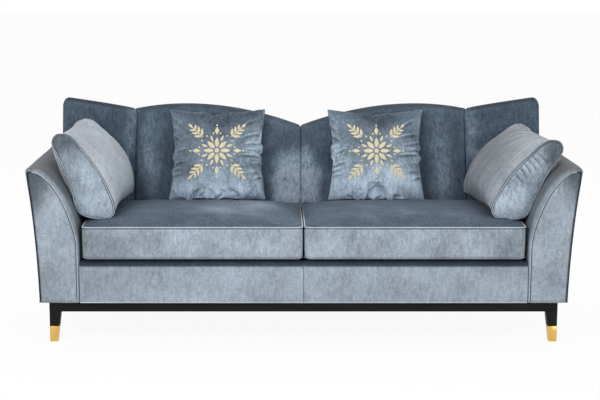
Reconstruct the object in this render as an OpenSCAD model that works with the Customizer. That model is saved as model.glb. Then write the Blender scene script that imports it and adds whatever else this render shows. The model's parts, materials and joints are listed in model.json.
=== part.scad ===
// Three-seater sofa: flared arms, a raked back of two humps between two wings,
// two loose seat cushions, two scatter cushions and two boxed side cushions.
// X runs to the right seen from the front, Y to the back and Z up.
// The origin is on the floor, in the middle of the footprint.

/* [Overall] */
// Width over the flared tops of the arms
overall_w = 2260; // [1900:1:2600]
// Depth from the arm fronts to the outside back
overall_d = 826; // [800:1:900]
// Height of the body's underside above the floor is leg_h and plinth_h together
leg_h = 129; // [90:1:180]

/* [Plinth and legs] */
// Height of the plinth rails
plinth_h = 41; // [30:1:70]
// Thickness of the plinth rails
plinth_t = 26; // [18:1:40]
// How far the plinth stands back from the upholstered front and rear
plinth_setback = 18; // [5:1:40]
// How far the plinth stands in from the foot of the arms
plinth_side_setback = 38; // [10:1:60]
// Width of a leg where it meets the plinth
leg_top_w = 46; // [40:1:60]
// Width of a leg at the floor
leg_foot_w = 32; // [24:1:40]
// Height of the brass cap on a leg
leg_cap_h = 67; // [30:1:80]
// Wall of the brass cap
leg_cap_wall = 1.5; // [1:0.1:3]
// Diameter of the floor glide under a cap
glide_d = 20; // [12:1:24]
// Height that the floor glide stands below its cap
glide_proud = 1.5; // [1:0.1:3]
// Depth that the floor glide is let into its cap and leg
glide_let = 4; // [3:0.5:8]
// Diameter of the bolt that holds a leg
leg_bolt_d = 8; // [6:1:12]
// Length of that bolt inside the leg
leg_bolt_in = 40; // [20:1:50]
// Side of a corner block in the plinth
plinth_block_w = 70; // [50:1:90]
// Diameter of the screws that hold the plinth to the seat frame
plinth_screw_d = 6; // [4:1:8]
// Length of those screws above the plinth blocks
plinth_screw_in = 22; // [12:1:30]

/* [Seat box] */
// Width of an arm from the seat to its flared top
arm_w = 210; // [180:1:240]
// Height of the sprung deck that the seat cushions lie on
deck_h = 339; // [300:1:360]
// Thickness of the deck pad
deck_pad_t = 20; // [10:1:24]
// Depth of the back at its top, from the seat's rear line to the outside back
back_d = 221; // [200:1:240]
// Radius of the rounded front edge of the deck
deck_edge_r = 16; // [8:1:24]
// Thickness of the padding on the front rail
front_pad_t = 12; // [6:1:20]
// How far the upholstered front border stands behind the arm piping
front_setback = 4; // [3:0.5:12]
// Width that the border cover runs back over the deck
deck_lap = 60; // [40:1:90]
// Thickness of the boards of the frame
board_t = 25; // [18:1:32]
// Width of the seat frame's side rails
side_rail_w = 40; // [25:1:60]
// Height of the two cross rails
cross_rail_h = 60; // [40:1:90]
// Side of a corner block in the seat frame
frame_block_w = 60; // [40:1:80]
// Number of sinuous springs
spring_count = 9; // [6:1:12]
// Wire diameter of the springs
spring_wire_d = 3.8; // [3:0.1:5]
// Width of a spring's bends
spring_w = 48; // [36:1:60]
// Number of half waves in a spring
spring_waves = 12; // [8:2:14]
// Width of a spring clip
clip_w = 22; // [20:1:30]
// Depth of a spring clip along the spring
clip_l = 8; // [6:1:9]
// Thickness of a spring clip's strip
clip_t = 1.2; // [0.8:0.1:2]
// Thickness of the dust cover below the frame
dust_t = 1; // [0.6:0.1:2]

/* [Upholstery] */
// Thickness of the velvet covers with their backing
cover_t = 2.5; // [1.5:0.1:4]
// Thickness of the foam on the arms
arm_pad_t = 18; // [10:1:24]
// Diameter of the piping
pipe_d = 6; // [4:0.5:8]
// Gap left between a cover and what lies next to it
fit_gap = 0.4; // [0.3:0.1:1]

/* [Arms] */
// Height of the arm tops
arm_h = 730; // [640:1:780]
// How far the foot of an arm's outer side stands in from its top
arm_foot_in = 43; // [10:1:60]
// Radius of the outer top edge of an arm
arm_edge_r = 16; // [8:1:24]
// Width of the padded roll between the front panel and the arm's inner side
arm_roll_w = 17; // [12:1:26]
// Thickness of the panel on the arm front
arm_panel_t = 6; // [4:1:10]

/* [Back] */
// Height of the peak of each hump
hump_h = 912; // [860:1:960]
// Distance of each peak from the wing seam beside it
hump_peak_in = 228; // [180:1:300]
// Height of the notch in the middle of the back
notch_h = 812; // [780:1:860]
// Height of the back at the wing seams
seam_h = 888; // [850:1:900]
// Distance of the wing seams inside the flared tops of the arms
seam_in = 382; // [340:1:440]
// Height of the wings at their outer corners
wing_h = 943; // [890:1:990]
// Width of a wing from its seam to its outer edge
wing_w = 325; // [300:1:350]
// Angle by which the wings turn forward
wing_toe = 10; // [4:1:14]
// Radius of the outer top corner of a wing
wing_corner_r = 26; // [15:1:40]
// Angle by which the inside back leans
back_rake = 12.5; // [8:0.5:14]
// Angle by which the outside back leans
rear_rake = 3; // [1:0.5:5]
// Height at which the inside back begins to lean
lean_start_h = 488; // [440:1:500]
// Half height of the rounded top edge
top_round = 36; // [26:1:44]
// Swell of each hump between its seams
hump_swell = 18; // [6:1:26]
// Depth of the back's boards
back_board_t = 28; // [20:1:32]
// Distance of those boards inside the outside back
back_board_in = 8; // [5:1:12]
// Height of the top rail
top_rail_h = 70; // [50:1:90]
// Drop of the top rail below the top of the upholstery
top_rail_drop = 66; // [60:1:90]
// Width of the back posts
post_w = 60; // [40:1:80]
// Height of the lower rail of the back
lower_rail_h = 60; // [40:1:80]
// Width of the back webbing
web_w = 50; // [30:1:60]
// Thickness of the back webbing
web_t = 1.6; // [1:0.1:2.4]
// Number of webbing straps
web_count = 5; // [3:1:6]

/* [Seat cushions] */
// Height of a seat cushion's border
seat_border_h = 145; // [110:1:160]
// Rise of the crown above the border
seat_crown = 27; // [10:1:30]
// Gap between the two seat cushions
seat_gap = 6; // [4:1:12]
// Gap between a seat cushion and the arm or the back beside it
seat_side_gap = 12; // [3:1:16]
// Swell of the front border
seat_swell = 5; // [2:1:7]
// How far the seat cushion's front stands behind the front plane
seat_front_in = 6; // [5.5:0.5:12]
// Thickness of the fibre wrap round the foam core
wrap_t = 14; // [8:1:20]
// Height of the zip opening at the back of a cushion
zip_h = 3; // [2:0.5:6]

/* [Scatter cushions] */
// Width of a scatter cushion over its corners
scatter_w = 430; // [360:1:480]
// Height of a scatter cushion over its corners
scatter_h = 416; // [360:1:440]
// Distance of a scatter cushion's lower edge before the seat's rear line
scatter_back_in = 123; // [120:1:160]
// Thickness of a scatter cushion in the middle
scatter_t = 130; // [90:1:150]
// Angle by which a scatter cushion leans back
scatter_lean = 22; // [18:0.5:26]
// Distance of the left scatter cushion's middle inside the middle of its seat cushion
scatter_left_in = 83; // [40:1:120]
// Distance of the right scatter cushion's middle inside the middle of its seat cushion
scatter_right_in = 125; // [80:1:150]
// Draw of a scatter cushion's sides between its corners
scatter_draw = 14; // [6:1:24]
// Side of the filling inside a scatter cushion
scatter_fill_w = 250; // [200:1:280]
// Thickness of that filling
scatter_fill_t = 46; // [30:1:50]

/* [Side cushions] */
// Width of a side cushion's end seen from the front
side_w = 290; // [260:1:310]
// Height of that end
side_h = 322; // [280:1:350]
// Length of a side cushion from front to back
side_l = 455; // [380:1:480]
// Distance of its rear end before the seat's rear line
side_back_in = 54; // [40:1:90]
// Swell of its broad face
side_swell = 40; // [20:1:46]
// Turn of the left side cushion towards upright
side_turn_left = 9; // [0:0.5:9]
// Turn of the right side cushion towards upright
side_turn_right = 0.5; // [0:0.5:3]
// Angle by which the rear end of the left side cushion swings inward
side_toe_left = 4.5; // [0:0.5:8]
// Angle by which the rear end of the right side cushion swings inward
side_toe_right = 7; // [0:0.5:8]
// Distance from the arm's inner side to the inner edge of a side cushion
side_inner_in = 140; // [128:1:160]
// Thickness of the filling inside a side cushion
side_fill_t = 36; // [24:1:44]

/* [Hidden] */

// Depth and overrun that every cut uses
over = 1;
// Finish colours
velvet = [0.36, 0.44, 0.52];
wood = [0.11, 0.09, 0.08];
raw_wood = [0.72, 0.58, 0.40];
brass = [0.80, 0.66, 0.36];
steel = [0.60, 0.61, 0.63];
foam = [0.90, 0.86, 0.72];
black_cloth = [0.08, 0.08, 0.09];

half_w = overall_w / 2;
half_d = overall_d / 2;
seat_half = half_w - arm_w;
base_z = leg_h + plinth_h;
foot_x = half_w - arm_foot_in;
front_y = -half_d;
border_y = front_y + front_setback;
inside_y = half_d - back_d;
seam_x = half_w - seam_in;
hump_peak_x = seam_x - hump_peak_in;

// Heights and depths of the back, in each station's own depth coordinate
rear_top_z = hump_h - top_round;
function rear_v(z) = back_d - (rear_top_z - z) * tan(rear_rake);
function lean_v(z) = max(0, z - lean_start_h) * tan(back_rake);

// Plain helpers
function mix(a, b, t) = a + (b - a) * t;
function bezier2(p, t) = (1 - t) * (1 - t) * p[0] + 2 * t * (1 - t) * p[1] + t * t * p[2];
function bezier3(p, t) = pow(1 - t, 3) * p[0] + 3 * t * pow(1 - t, 2) * p[1]
    + 3 * t * t * (1 - t) * p[2] + pow(t, 3) * p[3];
function reversed(p) = [for (i = [len(p) - 1:-1:0]) p[i]];
function left_of(a, b) = let (d = (b - a) / norm(b - a)) [-d[1], d[0]];
function corner_shift(na, nb) = (na + nb) / (1 + na * nb);
// Points of an open path moved to its left by a distance for each point
function open_inset(p, t) = [for (i = [0:len(p) - 1])
    let (na = i == 0 ? left_of(p[0], p[1]) : left_of(p[i - 1], p[i]),
         nb = i == len(p) - 1 ? na : left_of(p[i], p[i + 1]))
    p[i] + (is_list(t) ? t[i] : t) * corner_shift(na, nb)];
// Points of a closed ring moved to its left by a distance for each point
function ring_inset(p, t) = [for (i = [0:len(p) - 1])
    let (n = len(p), na = left_of(p[(i + n - 1) % n], p[i]), nb = left_of(p[i], p[(i + 1) % n]))
    p[i] + (is_list(t) ? t[i] : t) * corner_shift(na, nb)];

// A solid through closed rings of equally many points, with flat ends. Solids that share a
// surface from opposite sides need the other diagonals in one of them.
module loft(rings, other_diagonals = false) {
    n = len(rings[0]);
    last = (len(rings) - 1) * n;
    polyhedron(
        points = [for (ring = rings) each ring],
        faces = [
            [for (j = [0:n - 1]) j],
            [for (j = [n - 1:-1:0]) last + j],
            for (i = [0:len(rings) - 2], j = [0:n - 1])
                let (a = i * n + j, b = a + n, c = (i + 1) * n + (j + 1) % n)
                other_diagonals ? [a, b, c - n] : [a, b, c],
            for (i = [0:len(rings) - 2], j = [0:n - 1])
                let (a = i * n + j, b = a + n, c = (i + 1) * n + (j + 1) % n)
                other_diagonals ? [b, c, c - n] : [a, c, c - n]
        ]);
}
module along_y(y0, y1) {
    translate([0, y1, 0]) rotate([90, 0, 0]) linear_extrude(height = y1 - y0) children();
}
module along_x(x0, x1) {
    translate([x0, 0, 0]) rotate([90, 0, 90]) linear_extrude(height = x1 - x0) children();
}
module on_side(side) {
    if (side > 0) children(); else mirror([1, 0, 0]) children();
}
module box(x0, x1, y0, y1, z0, z1) {
    translate([x0, y0, z0]) cube([x1 - x0, y1 - y0, z1 - z0]);
}

// A tube along points, with its rings square to the path
function along(p, i) = let (a = p[max(0, i - 1)], b = p[min(len(p) - 1, i + 1)]) (b - a) / norm(b - a);
function tube_ring(c, d, r, sides, ref) = let (
        s0 = cross(ref, d), s = s0 / norm(s0), u = cross(d, s))
    [for (k = [0:sides - 1]) c + r * (cos(k * 360 / sides) * s + sin(k * 360 / sides) * u)];
module tube(p, r, sides, ref) {
    loft([for (i = [0:len(p) - 1]) tube_ring(p[i], along(p, i), r, sides, ref)]);
}

// Outline of the right arm seen from the front, from its outer foot over the top to the deck.
// Shares are of the arm's width at the top and of its height above the underside.
arm_outer_share = [0.167, 0.568];
arm_inner_shares = [[0.79, 1], [0.42, 0.961], [0.005, 0.692], [0, 0.424]];
arm_outer_steps = 8;
arm_inner_steps = 10;
arm_corner_angles = [0, 30, 60, 90];
arm_top_w = half_w - seat_half;
arm_rise = arm_h - base_z;
arm_outer_ctrl = [
    [foot_x, base_z],
    [foot_x + arm_outer_share[0] * arm_foot_in, base_z + arm_outer_share[1] * arm_rise],
    [half_w, arm_h - arm_edge_r]];
arm_inner_ctrl = [for (p = arm_inner_shares) [seat_half + p[0] * arm_top_w, base_z + p[1] * arm_rise]];
arm_outer_path = [for (i = [0:arm_outer_steps]) bezier2(arm_outer_ctrl, i / arm_outer_steps)];
arm_inner_path = [for (i = [0:arm_inner_steps]) bezier3(arm_inner_ctrl, i / arm_inner_steps)];
function arm_corner(r) = [for (a = arm_corner_angles)
    [half_w - arm_edge_r + r * cos(a), arm_h - arm_edge_r + r * sin(a)]];
// The outline moved inwards by a distance, which may be more than the corner's radius
function arm_path_in(t) = concat(
    [for (p = open_inset(arm_outer_path, t)) if (p[1] < arm_h - max(arm_edge_r, t) - over) p],
    t < arm_edge_r - over ? arm_corner(arm_edge_r - t) : [[half_w - t, arm_h - t]],
    open_inset(concat(arm_inner_path, [[seat_half, deck_h]]), t));
arm_path = arm_path_in(0);
arm_full_path = concat(arm_path, [[seat_half, base_z]]);

arm_y0 = border_y + arm_panel_t;
arm_in = cover_t + arm_pad_t + fit_gap;
arm_board_in = seat_half + arm_in;
arm_section = concat(arm_path_in(arm_in), [[arm_board_in, base_z]]);

// Space in front of the outside back, on the right, less a distance
rear_far_u = wing_w + 2 * arm_top_w;
function wing_point(u, v, z) = [
    seam_x + u * cos(wing_toe) + v * sin(wing_toe),
    inside_y - u * sin(wing_toe) + v * cos(wing_toe), z];
module in_front_of_rear(less) {
    lows = [for (z = [-over, wing_h + over])
        let (v = rear_v(z) - less, a = wing_point(-v * tan(wing_toe / 2), v, z),
             b = wing_point(rear_far_u, v, z))
        [[a[0], front_y - over, z], [b[0], front_y - over, z], b, a]];
    loft(lows);
}
// Space that a right arm fills, with a clearance round its inner side and top
module arm_space(gap) {
    inner = open_inset(concat(arm_inner_path, [[seat_half, base_z]]), -gap);
    far_x = half_w + arm_top_w;
    along_y(front_y - over, half_d + over)
        polygon(concat([[far_x, base_z - over], [far_x, arm_h + gap]], inner,
            [[inner[len(inner) - 1][0], base_z - over]]));
}

// Plinth, legs and their fittings
plinth_x = foot_x - plinth_side_setback;
plinth_y0 = border_y + plinth_setback;
plinth_y1 = inside_y + rear_v(base_z) - wing_w * sin(wing_toe) - plinth_setback;
leg_bolt_at = plinth_t + leg_bolt_d;
plinth_screw_at = plinth_t + plinth_block_w - 2 * plinth_screw_d;
leg_bolt_top = plinth_h - 2 * fit_gap - leg_bolt_d;

module plinth_rail_across(y0) {
    color(wood) box(-plinth_x, plinth_x, y0, y0 + plinth_t, leg_h, base_z);
}
module plinth_front_rail() { plinth_rail_across(plinth_y0); }
module plinth_rear_rail() { plinth_rail_across(plinth_y1 - plinth_t); }
module plinth_side_rails() {
    color(wood) for (side = [-1, 1]) on_side(side)
        box(plinth_x - plinth_t, plinth_x, plinth_y0 + plinth_t, plinth_y1 - plinth_t, leg_h, base_z);
}
// Children are placed at a corner of the plinth, with X and Y running inwards
module at_corner(side, rear) {
    on_side(side) translate([plinth_x, rear ? plinth_y1 : plinth_y0, 0])
        mirror([1, 0, 0]) mirror([0, rear ? 1 : 0, 0]) children();
}
module at_corners() {
    for (side = [-1, 1], rear = [false, true]) at_corner(side, rear) children();
}
module plinth_corner_blocks() {
    color(raw_wood) at_corners() difference() {
        box(plinth_t, plinth_t + plinth_block_w, plinth_t, plinth_t + plinth_block_w, leg_h, base_z);
        translate([leg_bolt_at, leg_bolt_at, leg_h - over])
            cylinder(h = leg_bolt_top + over, d = leg_bolt_d, $fn = 32);
        translate([plinth_screw_at, plinth_screw_at, leg_h - over])
            cylinder(h = plinth_h + 2 * over, d = plinth_screw_d, $fn = 24);
    }
}
function leg_w(z) = mix(leg_foot_w, leg_top_w, z / leg_h);
function leg_ring(z, inset) = [
    [inset, inset, z], [leg_w(z) - inset, inset, z],
    [leg_w(z) - inset, leg_w(z) - inset, z], [inset, leg_w(z) - inset, z]];
leg_glide_at = leg_foot_w / 2;
module leg() {
    spigot_in = leg_cap_wall + fit_gap / 2;
    color(wood) difference() {
        loft([
            leg_ring(glide_proud + leg_cap_wall, spigot_in), leg_ring(leg_cap_h, spigot_in),
            leg_ring(leg_cap_h, 0), leg_ring(leg_h, 0)]);
        translate([leg_bolt_at, leg_bolt_at, leg_h - leg_bolt_in])
            cylinder(h = leg_bolt_in + over, d = leg_bolt_d, $fn = 32);
        translate([leg_glide_at, leg_glide_at, 0])
            cylinder(h = glide_proud + glide_let, d = glide_d, $fn = 40);
    }
}
module leg_cap() {
    color(brass) difference() {
        loft([leg_ring(glide_proud, 0), leg_ring(leg_cap_h, 0)]);
        loft([leg_ring(glide_proud + leg_cap_wall, leg_cap_wall),
            leg_ring(leg_cap_h + over, leg_cap_wall)]);
        translate([leg_glide_at, leg_glide_at, 0])
            cylinder(h = glide_proud + glide_let, d = glide_d, $fn = 40);
    }
}
module leg_front_left() { at_corner(-1, false) leg(); }
module leg_front_right() { at_corner(1, false) leg(); }
module leg_rear_left() { at_corner(-1, true) leg(); }
module leg_rear_right() { at_corner(1, true) leg(); }
module leg_cap_front_left() { at_corner(-1, false) leg_cap(); }
module leg_cap_front_right() { at_corner(1, false) leg_cap(); }
module leg_cap_rear_left() { at_corner(-1, true) leg_cap(); }
module leg_cap_rear_right() { at_corner(1, true) leg_cap(); }
module floor_glides() {
    color(black_cloth) at_corners() translate([leg_glide_at, leg_glide_at, 0])
        cylinder(h = glide_proud + glide_let, d = glide_d, $fn = 40);
}
module leg_bolts() {
    color(steel) at_corners() translate([leg_bolt_at, leg_bolt_at, leg_h - leg_bolt_in])
        cylinder(h = leg_bolt_in + leg_bolt_top, d = leg_bolt_d, $fn = 32);
}
module plinth_screws() {
    color(steel) at_corners() translate([plinth_screw_at, plinth_screw_at, leg_h])
        cylinder(h = plinth_h + plinth_screw_in, d = plinth_screw_d, $fn = 24);
}

// Seat frame, springs and deck
deck_pad_z = deck_h - cover_t - deck_pad_t;
spring_z = deck_pad_z - fit_gap - spring_wire_d / 2;
rail_top = spring_z - spring_wire_d / 2 - clip_t;
clip_top = spring_z + spring_wire_d / 2 + clip_t;
front_rail_y = border_y + cover_t + front_pad_t;
post_y = inside_y + rear_v(base_z) - back_board_in - back_board_t;
rear_rail_y = post_y - board_t;
deck_tuck = back_board_t;

module seat_frame_front_rail() {
    color(raw_wood) box(-arm_board_in, arm_board_in, front_rail_y, front_rail_y + board_t, base_z, rail_top);
}
module seat_frame_rear_rail() {
    color(raw_wood) box(-arm_board_in, arm_board_in, rear_rail_y, rear_rail_y + board_t, base_z, rail_top);
}
module seat_frame_side_rails() {
    color(raw_wood) for (side = [-1, 1]) on_side(side)
        box(arm_board_in - side_rail_w, arm_board_in, front_rail_y + board_t, rear_rail_y,
            base_z, rail_top);
}
cross_rail_share = 0.33;
module seat_frame_cross_rails() {
    color(raw_wood) for (side = [-1, 1]) on_side(side)
        translate([cross_rail_share * seat_half, 0, 0])
            box(0, board_t, front_rail_y + board_t, rear_rail_y, base_z, base_z + cross_rail_h);
}
module seat_frame_corner_blocks() {
    x1 = arm_board_in - side_rail_w;
    color(raw_wood) for (side = [-1, 1]) on_side(side) {
        box(x1 - frame_block_w, x1, front_rail_y + board_t, front_rail_y + board_t + frame_block_w,
            base_z, base_z + cross_rail_h);
        box(x1 - frame_block_w, x1, rear_rail_y - frame_block_w, rear_rail_y,
            base_z, base_z + cross_rail_h);
    }
}
spring_steps = 3;
spring_y0 = front_rail_y + board_t / 2;
spring_y1 = rear_rail_y + board_t / 2;
spring_pitch = 2 * (seat_half - side_rail_w - spring_w) / (spring_count - 1);
function spring_x(i) = (i - (spring_count - 1) / 2) * spring_pitch;
module seat_springs() {
    steps = spring_waves * spring_steps;
    color(steel) for (i = [0:spring_count - 1])
        tube([for (k = [0:steps]) [
                spring_x(i) + spring_w / 2 * sin(180 * spring_waves * k / steps),
                mix(spring_y0, spring_y1, k / steps), spring_z]],
            spring_wire_d / 2, 6, [0, 0, 1]);
}
module spring_clips() {
    slot = spring_wire_d / 2 + fit_gap / 2;
    color(steel) for (i = [0:spring_count - 1], y = [spring_y0, spring_y1])
        translate([spring_x(i), y, 0]) difference() {
            box(-clip_w / 2, clip_w / 2, -clip_l / 2, clip_l / 2, rail_top, clip_top);
            box(-clip_w / 2 + clip_t, clip_w / 2 - clip_t, -board_t, board_t,
                rail_top + clip_t, spring_z + slot);
        }
}
deck_x = seat_half - fit_gap;
module deck_pad() {
    color(foam) box(-deck_x, deck_x, border_y + deck_lap + fit_gap, inside_y + deck_tuck,
        deck_pad_z, deck_h - cover_t);
}
module deck_cover() {
    color(black_cloth) box(-deck_x, deck_x, border_y + deck_lap + fit_gap, inside_y + deck_tuck,
        deck_h - cover_t, deck_h);
}
module dust_cover() {
    x = plinth_x - plinth_t - fit_gap;
    y0 = plinth_y0 + plinth_t + fit_gap;
    y1 = plinth_y1 - plinth_t - fit_gap;
    color(black_cloth) difference() {
        box(-x, x, y0, y1, base_z - dust_t, base_z);
        for (side = [-1, 1], y = [y0 - over, y1 - plinth_block_w]) on_side(side)
            box(x - plinth_block_w, x + over, y, y + plinth_block_w + over,
                base_z - dust_t - over, base_z + over);
    }
    rear = [for (u = [-rear_v(base_z) * tan(wing_toe / 2), wing_w - 2 * arm_pad_t])
        wing_point(u, rear_v(base_z) - cover_t, base_z)];
    color(black_cloth) translate([0, 0, base_z - dust_t]) linear_extrude(dust_t) polygon([
        [-rear[1][0], plinth_y1 + fit_gap], [rear[1][0], plinth_y1 + fit_gap], [rear[1][0], rear[1][1]],
        [rear[0][0], rear[0][1]], [-rear[0][0], rear[0][1]], [-rear[1][0], rear[1][1]]]);
}
// Front border: path from its foot over the rounded edge and back over the deck
edge_angles = [0, 22.5, 45, 67.5, 90];
function border_path(inset) = concat(
    [[border_y + inset, base_z]],
    [for (a = edge_angles) [
        border_y + deck_edge_r - (deck_edge_r - inset) * cos(a),
        deck_h - deck_edge_r + (deck_edge_r - inset) * sin(a)]],
    [[border_y + deck_lap, deck_h - inset]]);
module front_rail_padding() {
    color(foam) along_x(-deck_x, deck_x) polygon(concat(border_path(cover_t), [
        [border_y + deck_lap, clip_top + fit_gap], [front_rail_y, clip_top + fit_gap],
        [front_rail_y, base_z]]));
}
module front_rail_cover() {
    color(velvet) along_x(-deck_x, deck_x)
        polygon(concat(border_path(0), reversed(border_path(cover_t))));
}

// Arms
module arm_boards() {
    y1 = half_d;
    board_top = base_z + board_t;
    intersection() {
        along_y(arm_y0, y1) polygon(arm_section);
        union() {
            box(0, half_w, arm_y0, arm_y0 + board_t, 0, arm_h);
            box(0, half_w, inside_y, inside_y + board_t, 0, arm_h);
            box(0, half_w, arm_y0, y1, 0, board_top);
            box(0, half_w, arm_y0, y1, arm_h - top_rail_h, arm_h);
            box(0, arm_board_in + board_t, arm_y0, y1, 0, deck_h);
        }
    }
}
module arm_frame() {
    color(raw_wood) intersection() {
        difference() {
            arm_boards();
            for (rear = [false, true]) at_corner(1, rear)
                translate([plinth_screw_at, plinth_screw_at, base_z - over])
                    cylinder(h = plinth_screw_in + over, d = plinth_screw_d, $fn = 24);
        }
        in_front_of_rear(cover_t + fit_gap);
    }
}
module arm_padding() {
    color(foam) intersection() {
        along_y(arm_y0, half_d + over)
            polygon(concat(arm_path_in(cover_t), reversed(arm_path_in(cover_t + arm_pad_t))));
        in_front_of_rear(cover_t);
    }
}
module arm_cover() {
    color(velvet) intersection() {
        along_y(arm_y0, half_d + over)
            polygon(concat(arm_path, reversed(arm_path_in(cover_t))));
        in_front_of_rear(cover_t);
    }
}
// Distance of the front panel's edge from the arm's outline, small on the outer side
panel_edge_in = pipe_d + fit_gap;
panel_shares = [for (i = [0:len(arm_full_path) - 1])
    let (k = i - arm_outer_steps + 1, m = len(arm_path) - 1 - i)
    max(0, min(1, min(k / 3, m / 2)))];
panel_in = [for (s = panel_shares) mix(panel_edge_in, arm_roll_w, s)];
pipe_in = [for (t = panel_in) t - pipe_d / 2 - fit_gap / 4];
module arm_front_panel() {
    color(velvet) along_y(border_y, arm_y0) polygon(open_inset(arm_full_path, panel_in));
}
module arm_piping() {
    path = [for (p = open_inset(arm_full_path, pipe_in)) [p[0], front_y + pipe_d / 2, p[1]]];
    color(velvet) tube(path, pipe_d / 2, 6, [0, 1, 0]);
}
module arm_frame_left() { on_side(-1) arm_frame(); }
module arm_frame_right() { on_side(1) arm_frame(); }
module arm_padding_left() { on_side(-1) arm_padding(); }
module arm_padding_right() { on_side(1) arm_padding(); }
module arm_cover_left() { on_side(-1) arm_cover(); }
module arm_cover_right() { on_side(1) arm_cover(); }
module arm_front_panel_left() { on_side(-1) arm_front_panel(); }
module arm_front_panel_right() { on_side(1) arm_front_panel(); }
module arm_piping_left() { on_side(-1) arm_piping(); }
module arm_piping_right() { on_side(1) arm_piping(); }

// Back: section at a station, from the deck up the front, over the top and down the rear
lean_shares = [0, 0.35, 0.7, 1];
top_angles = [150, 120, 90, 60, 30];
rear_seam_drop = top_round / 2;
function back_profile(h, inset, swell) = let (
        zr = h - top_round,
        front = [for (s = lean_shares) let (z = mix(lean_start_h, zr, s)) [lean_v(z) - swell + inset, z]],
        v0 = lean_v(zr) - swell + inset, v1 = rear_v(zr) - inset)
    concat(
        [[inset - swell, deck_h + fit_gap]], front,
        [for (a = top_angles) [(v0 + v1) / 2 + (v1 - v0) / 2 * cos(a), zr + (top_round - inset) * sin(a)]],
        [[v1, zr], [rear_v(zr - rear_seam_drop) - inset, zr - rear_seam_drop]]);
board_front = back_board_in + back_board_t;
pad_rear = board_front + web_t + 2 * fit_gap;
function cover_section(h, swell) = reversed(concat(
    back_profile(h, 0, swell), reversed(back_profile(h, cover_t, swell))));
function padding_section(h, swell) = let (z1 = h - top_rail_drop + fit_gap)
    reversed(concat(back_profile(h, cover_t, swell), [
        [rear_v(z1) - cover_t, z1], [rear_v(z1) - pad_rear, z1],
        [rear_v(deck_h) - pad_rear, deck_h + fit_gap]]));
function slab_section(z0, z1, in0, in1) = [
    [rear_v(z0) - in1, z0], [rear_v(z0) - in0, z0], [rear_v(z1) - in0, z1], [rear_v(z1) - in1, z1]];

// Height and swell of the humps over the distance from the middle
function hump_top(x) = x < hump_peak_x
    ? hump_h - (hump_h - notch_h) * pow(1 - x / hump_peak_x, 2)
    : hump_h - (hump_h - seam_h) * pow((x - hump_peak_x) / (seam_x - hump_peak_x), 2);
function hump_out(x) = hump_swell * (1 - pow(abs(2 * x / seam_x - 1), 3));
hump_peak_share = hump_peak_x / seam_x;
hump_shares = [0, 0.05, 0.14, 0.3, 0.5, hump_peak_share, 0.86, 0.96, 1];
hump_places = concat([for (i = [len(hump_shares) - 1:-1:1]) -hump_shares[i]], hump_shares);
// A station of the humps; the end ones lie in the mitre with the wings
function hump_ring(share, section) = let (
        k = abs(share) == 1 ? sign(share) * tan(wing_toe / 2) : 0)
    [for (p = section) [share * seam_x + k * p[0], inside_y + p[0], p[1]]];
// Height and swell of a wing over the distance from its seam
function wing_top(u) = let (r = wing_corner_r, w = wing_w - cover_t - r, c = min(r, max(0, u - w)))
    seam_h + (wing_h - seam_h) * pow(min(1, u / w), 0.85) - (r - sqrt(r * r - c * c));
function wing_out(u) = hump_swell / 3 * (1 - pow(abs(2 * u / wing_w - 1), 3));
wing_side_u = wing_w - cover_t;
wing_places = concat([for (s = [0, 0.12, 0.35, 0.65]) s * wing_w],
    [for (a = [0, 35, 65, 90]) wing_side_u - wing_corner_r * (1 - sin(a))]);
function wing_ring(u, section) = let (k = mix(tan(wing_toe / 2), tan(wing_toe), min(1, u / wing_w)))
    [for (p = section) wing_point(u - k * p[0], p[0], p[1])];
wing_board_end = wing_w - wing_corner_r - back_board_t;
wing_board_places = [for (s = [0, 0.33, 0.66, 1]) mix(board_t, wing_board_end, s)];

function post_top(x) = hump_top(x) - top_rail_drop - top_rail_h;
module post(x0, x1) {
    top = min(post_top(max(0, x0)), post_top(x1)) - fit_gap;
    color(raw_wood) along_x(x0, x1)
        polygon([for (p = slab_section(base_z, top, back_board_in, board_front)) [inside_y + p[0], p[1]]]);
}
module back_posts_and_lower_rail() {
    x1 = seam_x - board_t;
    z0 = deck_h - lower_rail_h;
    post(-post_w / 2, post_w / 2);
    for (side = [-1, 1]) on_side(side) {
        post(x1 - post_w, x1);
        color(raw_wood) along_x(post_w / 2, x1 - post_w)
            polygon([for (p = slab_section(z0, deck_h, back_board_in, board_front))
                [inside_y + p[0], p[1]]]);
    }
}
module back_top_rail() {
    color(raw_wood) loft([for (s = hump_places) if (abs(s) < 1)
        let (top = hump_top(abs(s) * seam_x) - top_rail_drop)
        hump_ring(s, slab_section(top - top_rail_h, top, back_board_in, board_front))]);
}
module wing_frames() {
    color(raw_wood) for (side = [-1, 1]) on_side(side) difference() {
        loft([for (u = wing_board_places)
            wing_ring(u, slab_section(rail_top, wing_top(u) - top_rail_drop - fit_gap, back_board_in, board_front))]);
        arm_space(fit_gap);
    }
}
module back_webbing() {
    z0 = deck_h + web_w;
    z1 = notch_h - top_rail_drop - top_rail_h - web_w;
    x = seam_x - board_t;
    color(black_cloth) for (i = [0:web_count - 1]) let (z = mix(z0, z1, i / (web_count - 1)))
        along_x(-x, x) polygon([for (p = slab_section(z, z + web_w, board_front, board_front + web_t))
            [inside_y + p[0], p[1]]]);
}
module inside_back_padding() {
    color(foam) loft([for (s = hump_places) let (x = abs(s) * seam_x)
        hump_ring(s, padding_section(hump_top(x), hump_out(x)))], true);
}
module inside_back_cover() {
    color(velvet) loft([for (s = hump_places) let (x = abs(s) * seam_x)
        hump_ring(s, cover_section(hump_top(x), hump_out(x)))]);
}
module wing_padding() {
    color(foam) difference() {
        loft([for (u = wing_places) wing_ring(u, padding_section(wing_top(u), wing_out(u)))], true);
        arm_space(fit_gap);
    }
}
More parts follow.
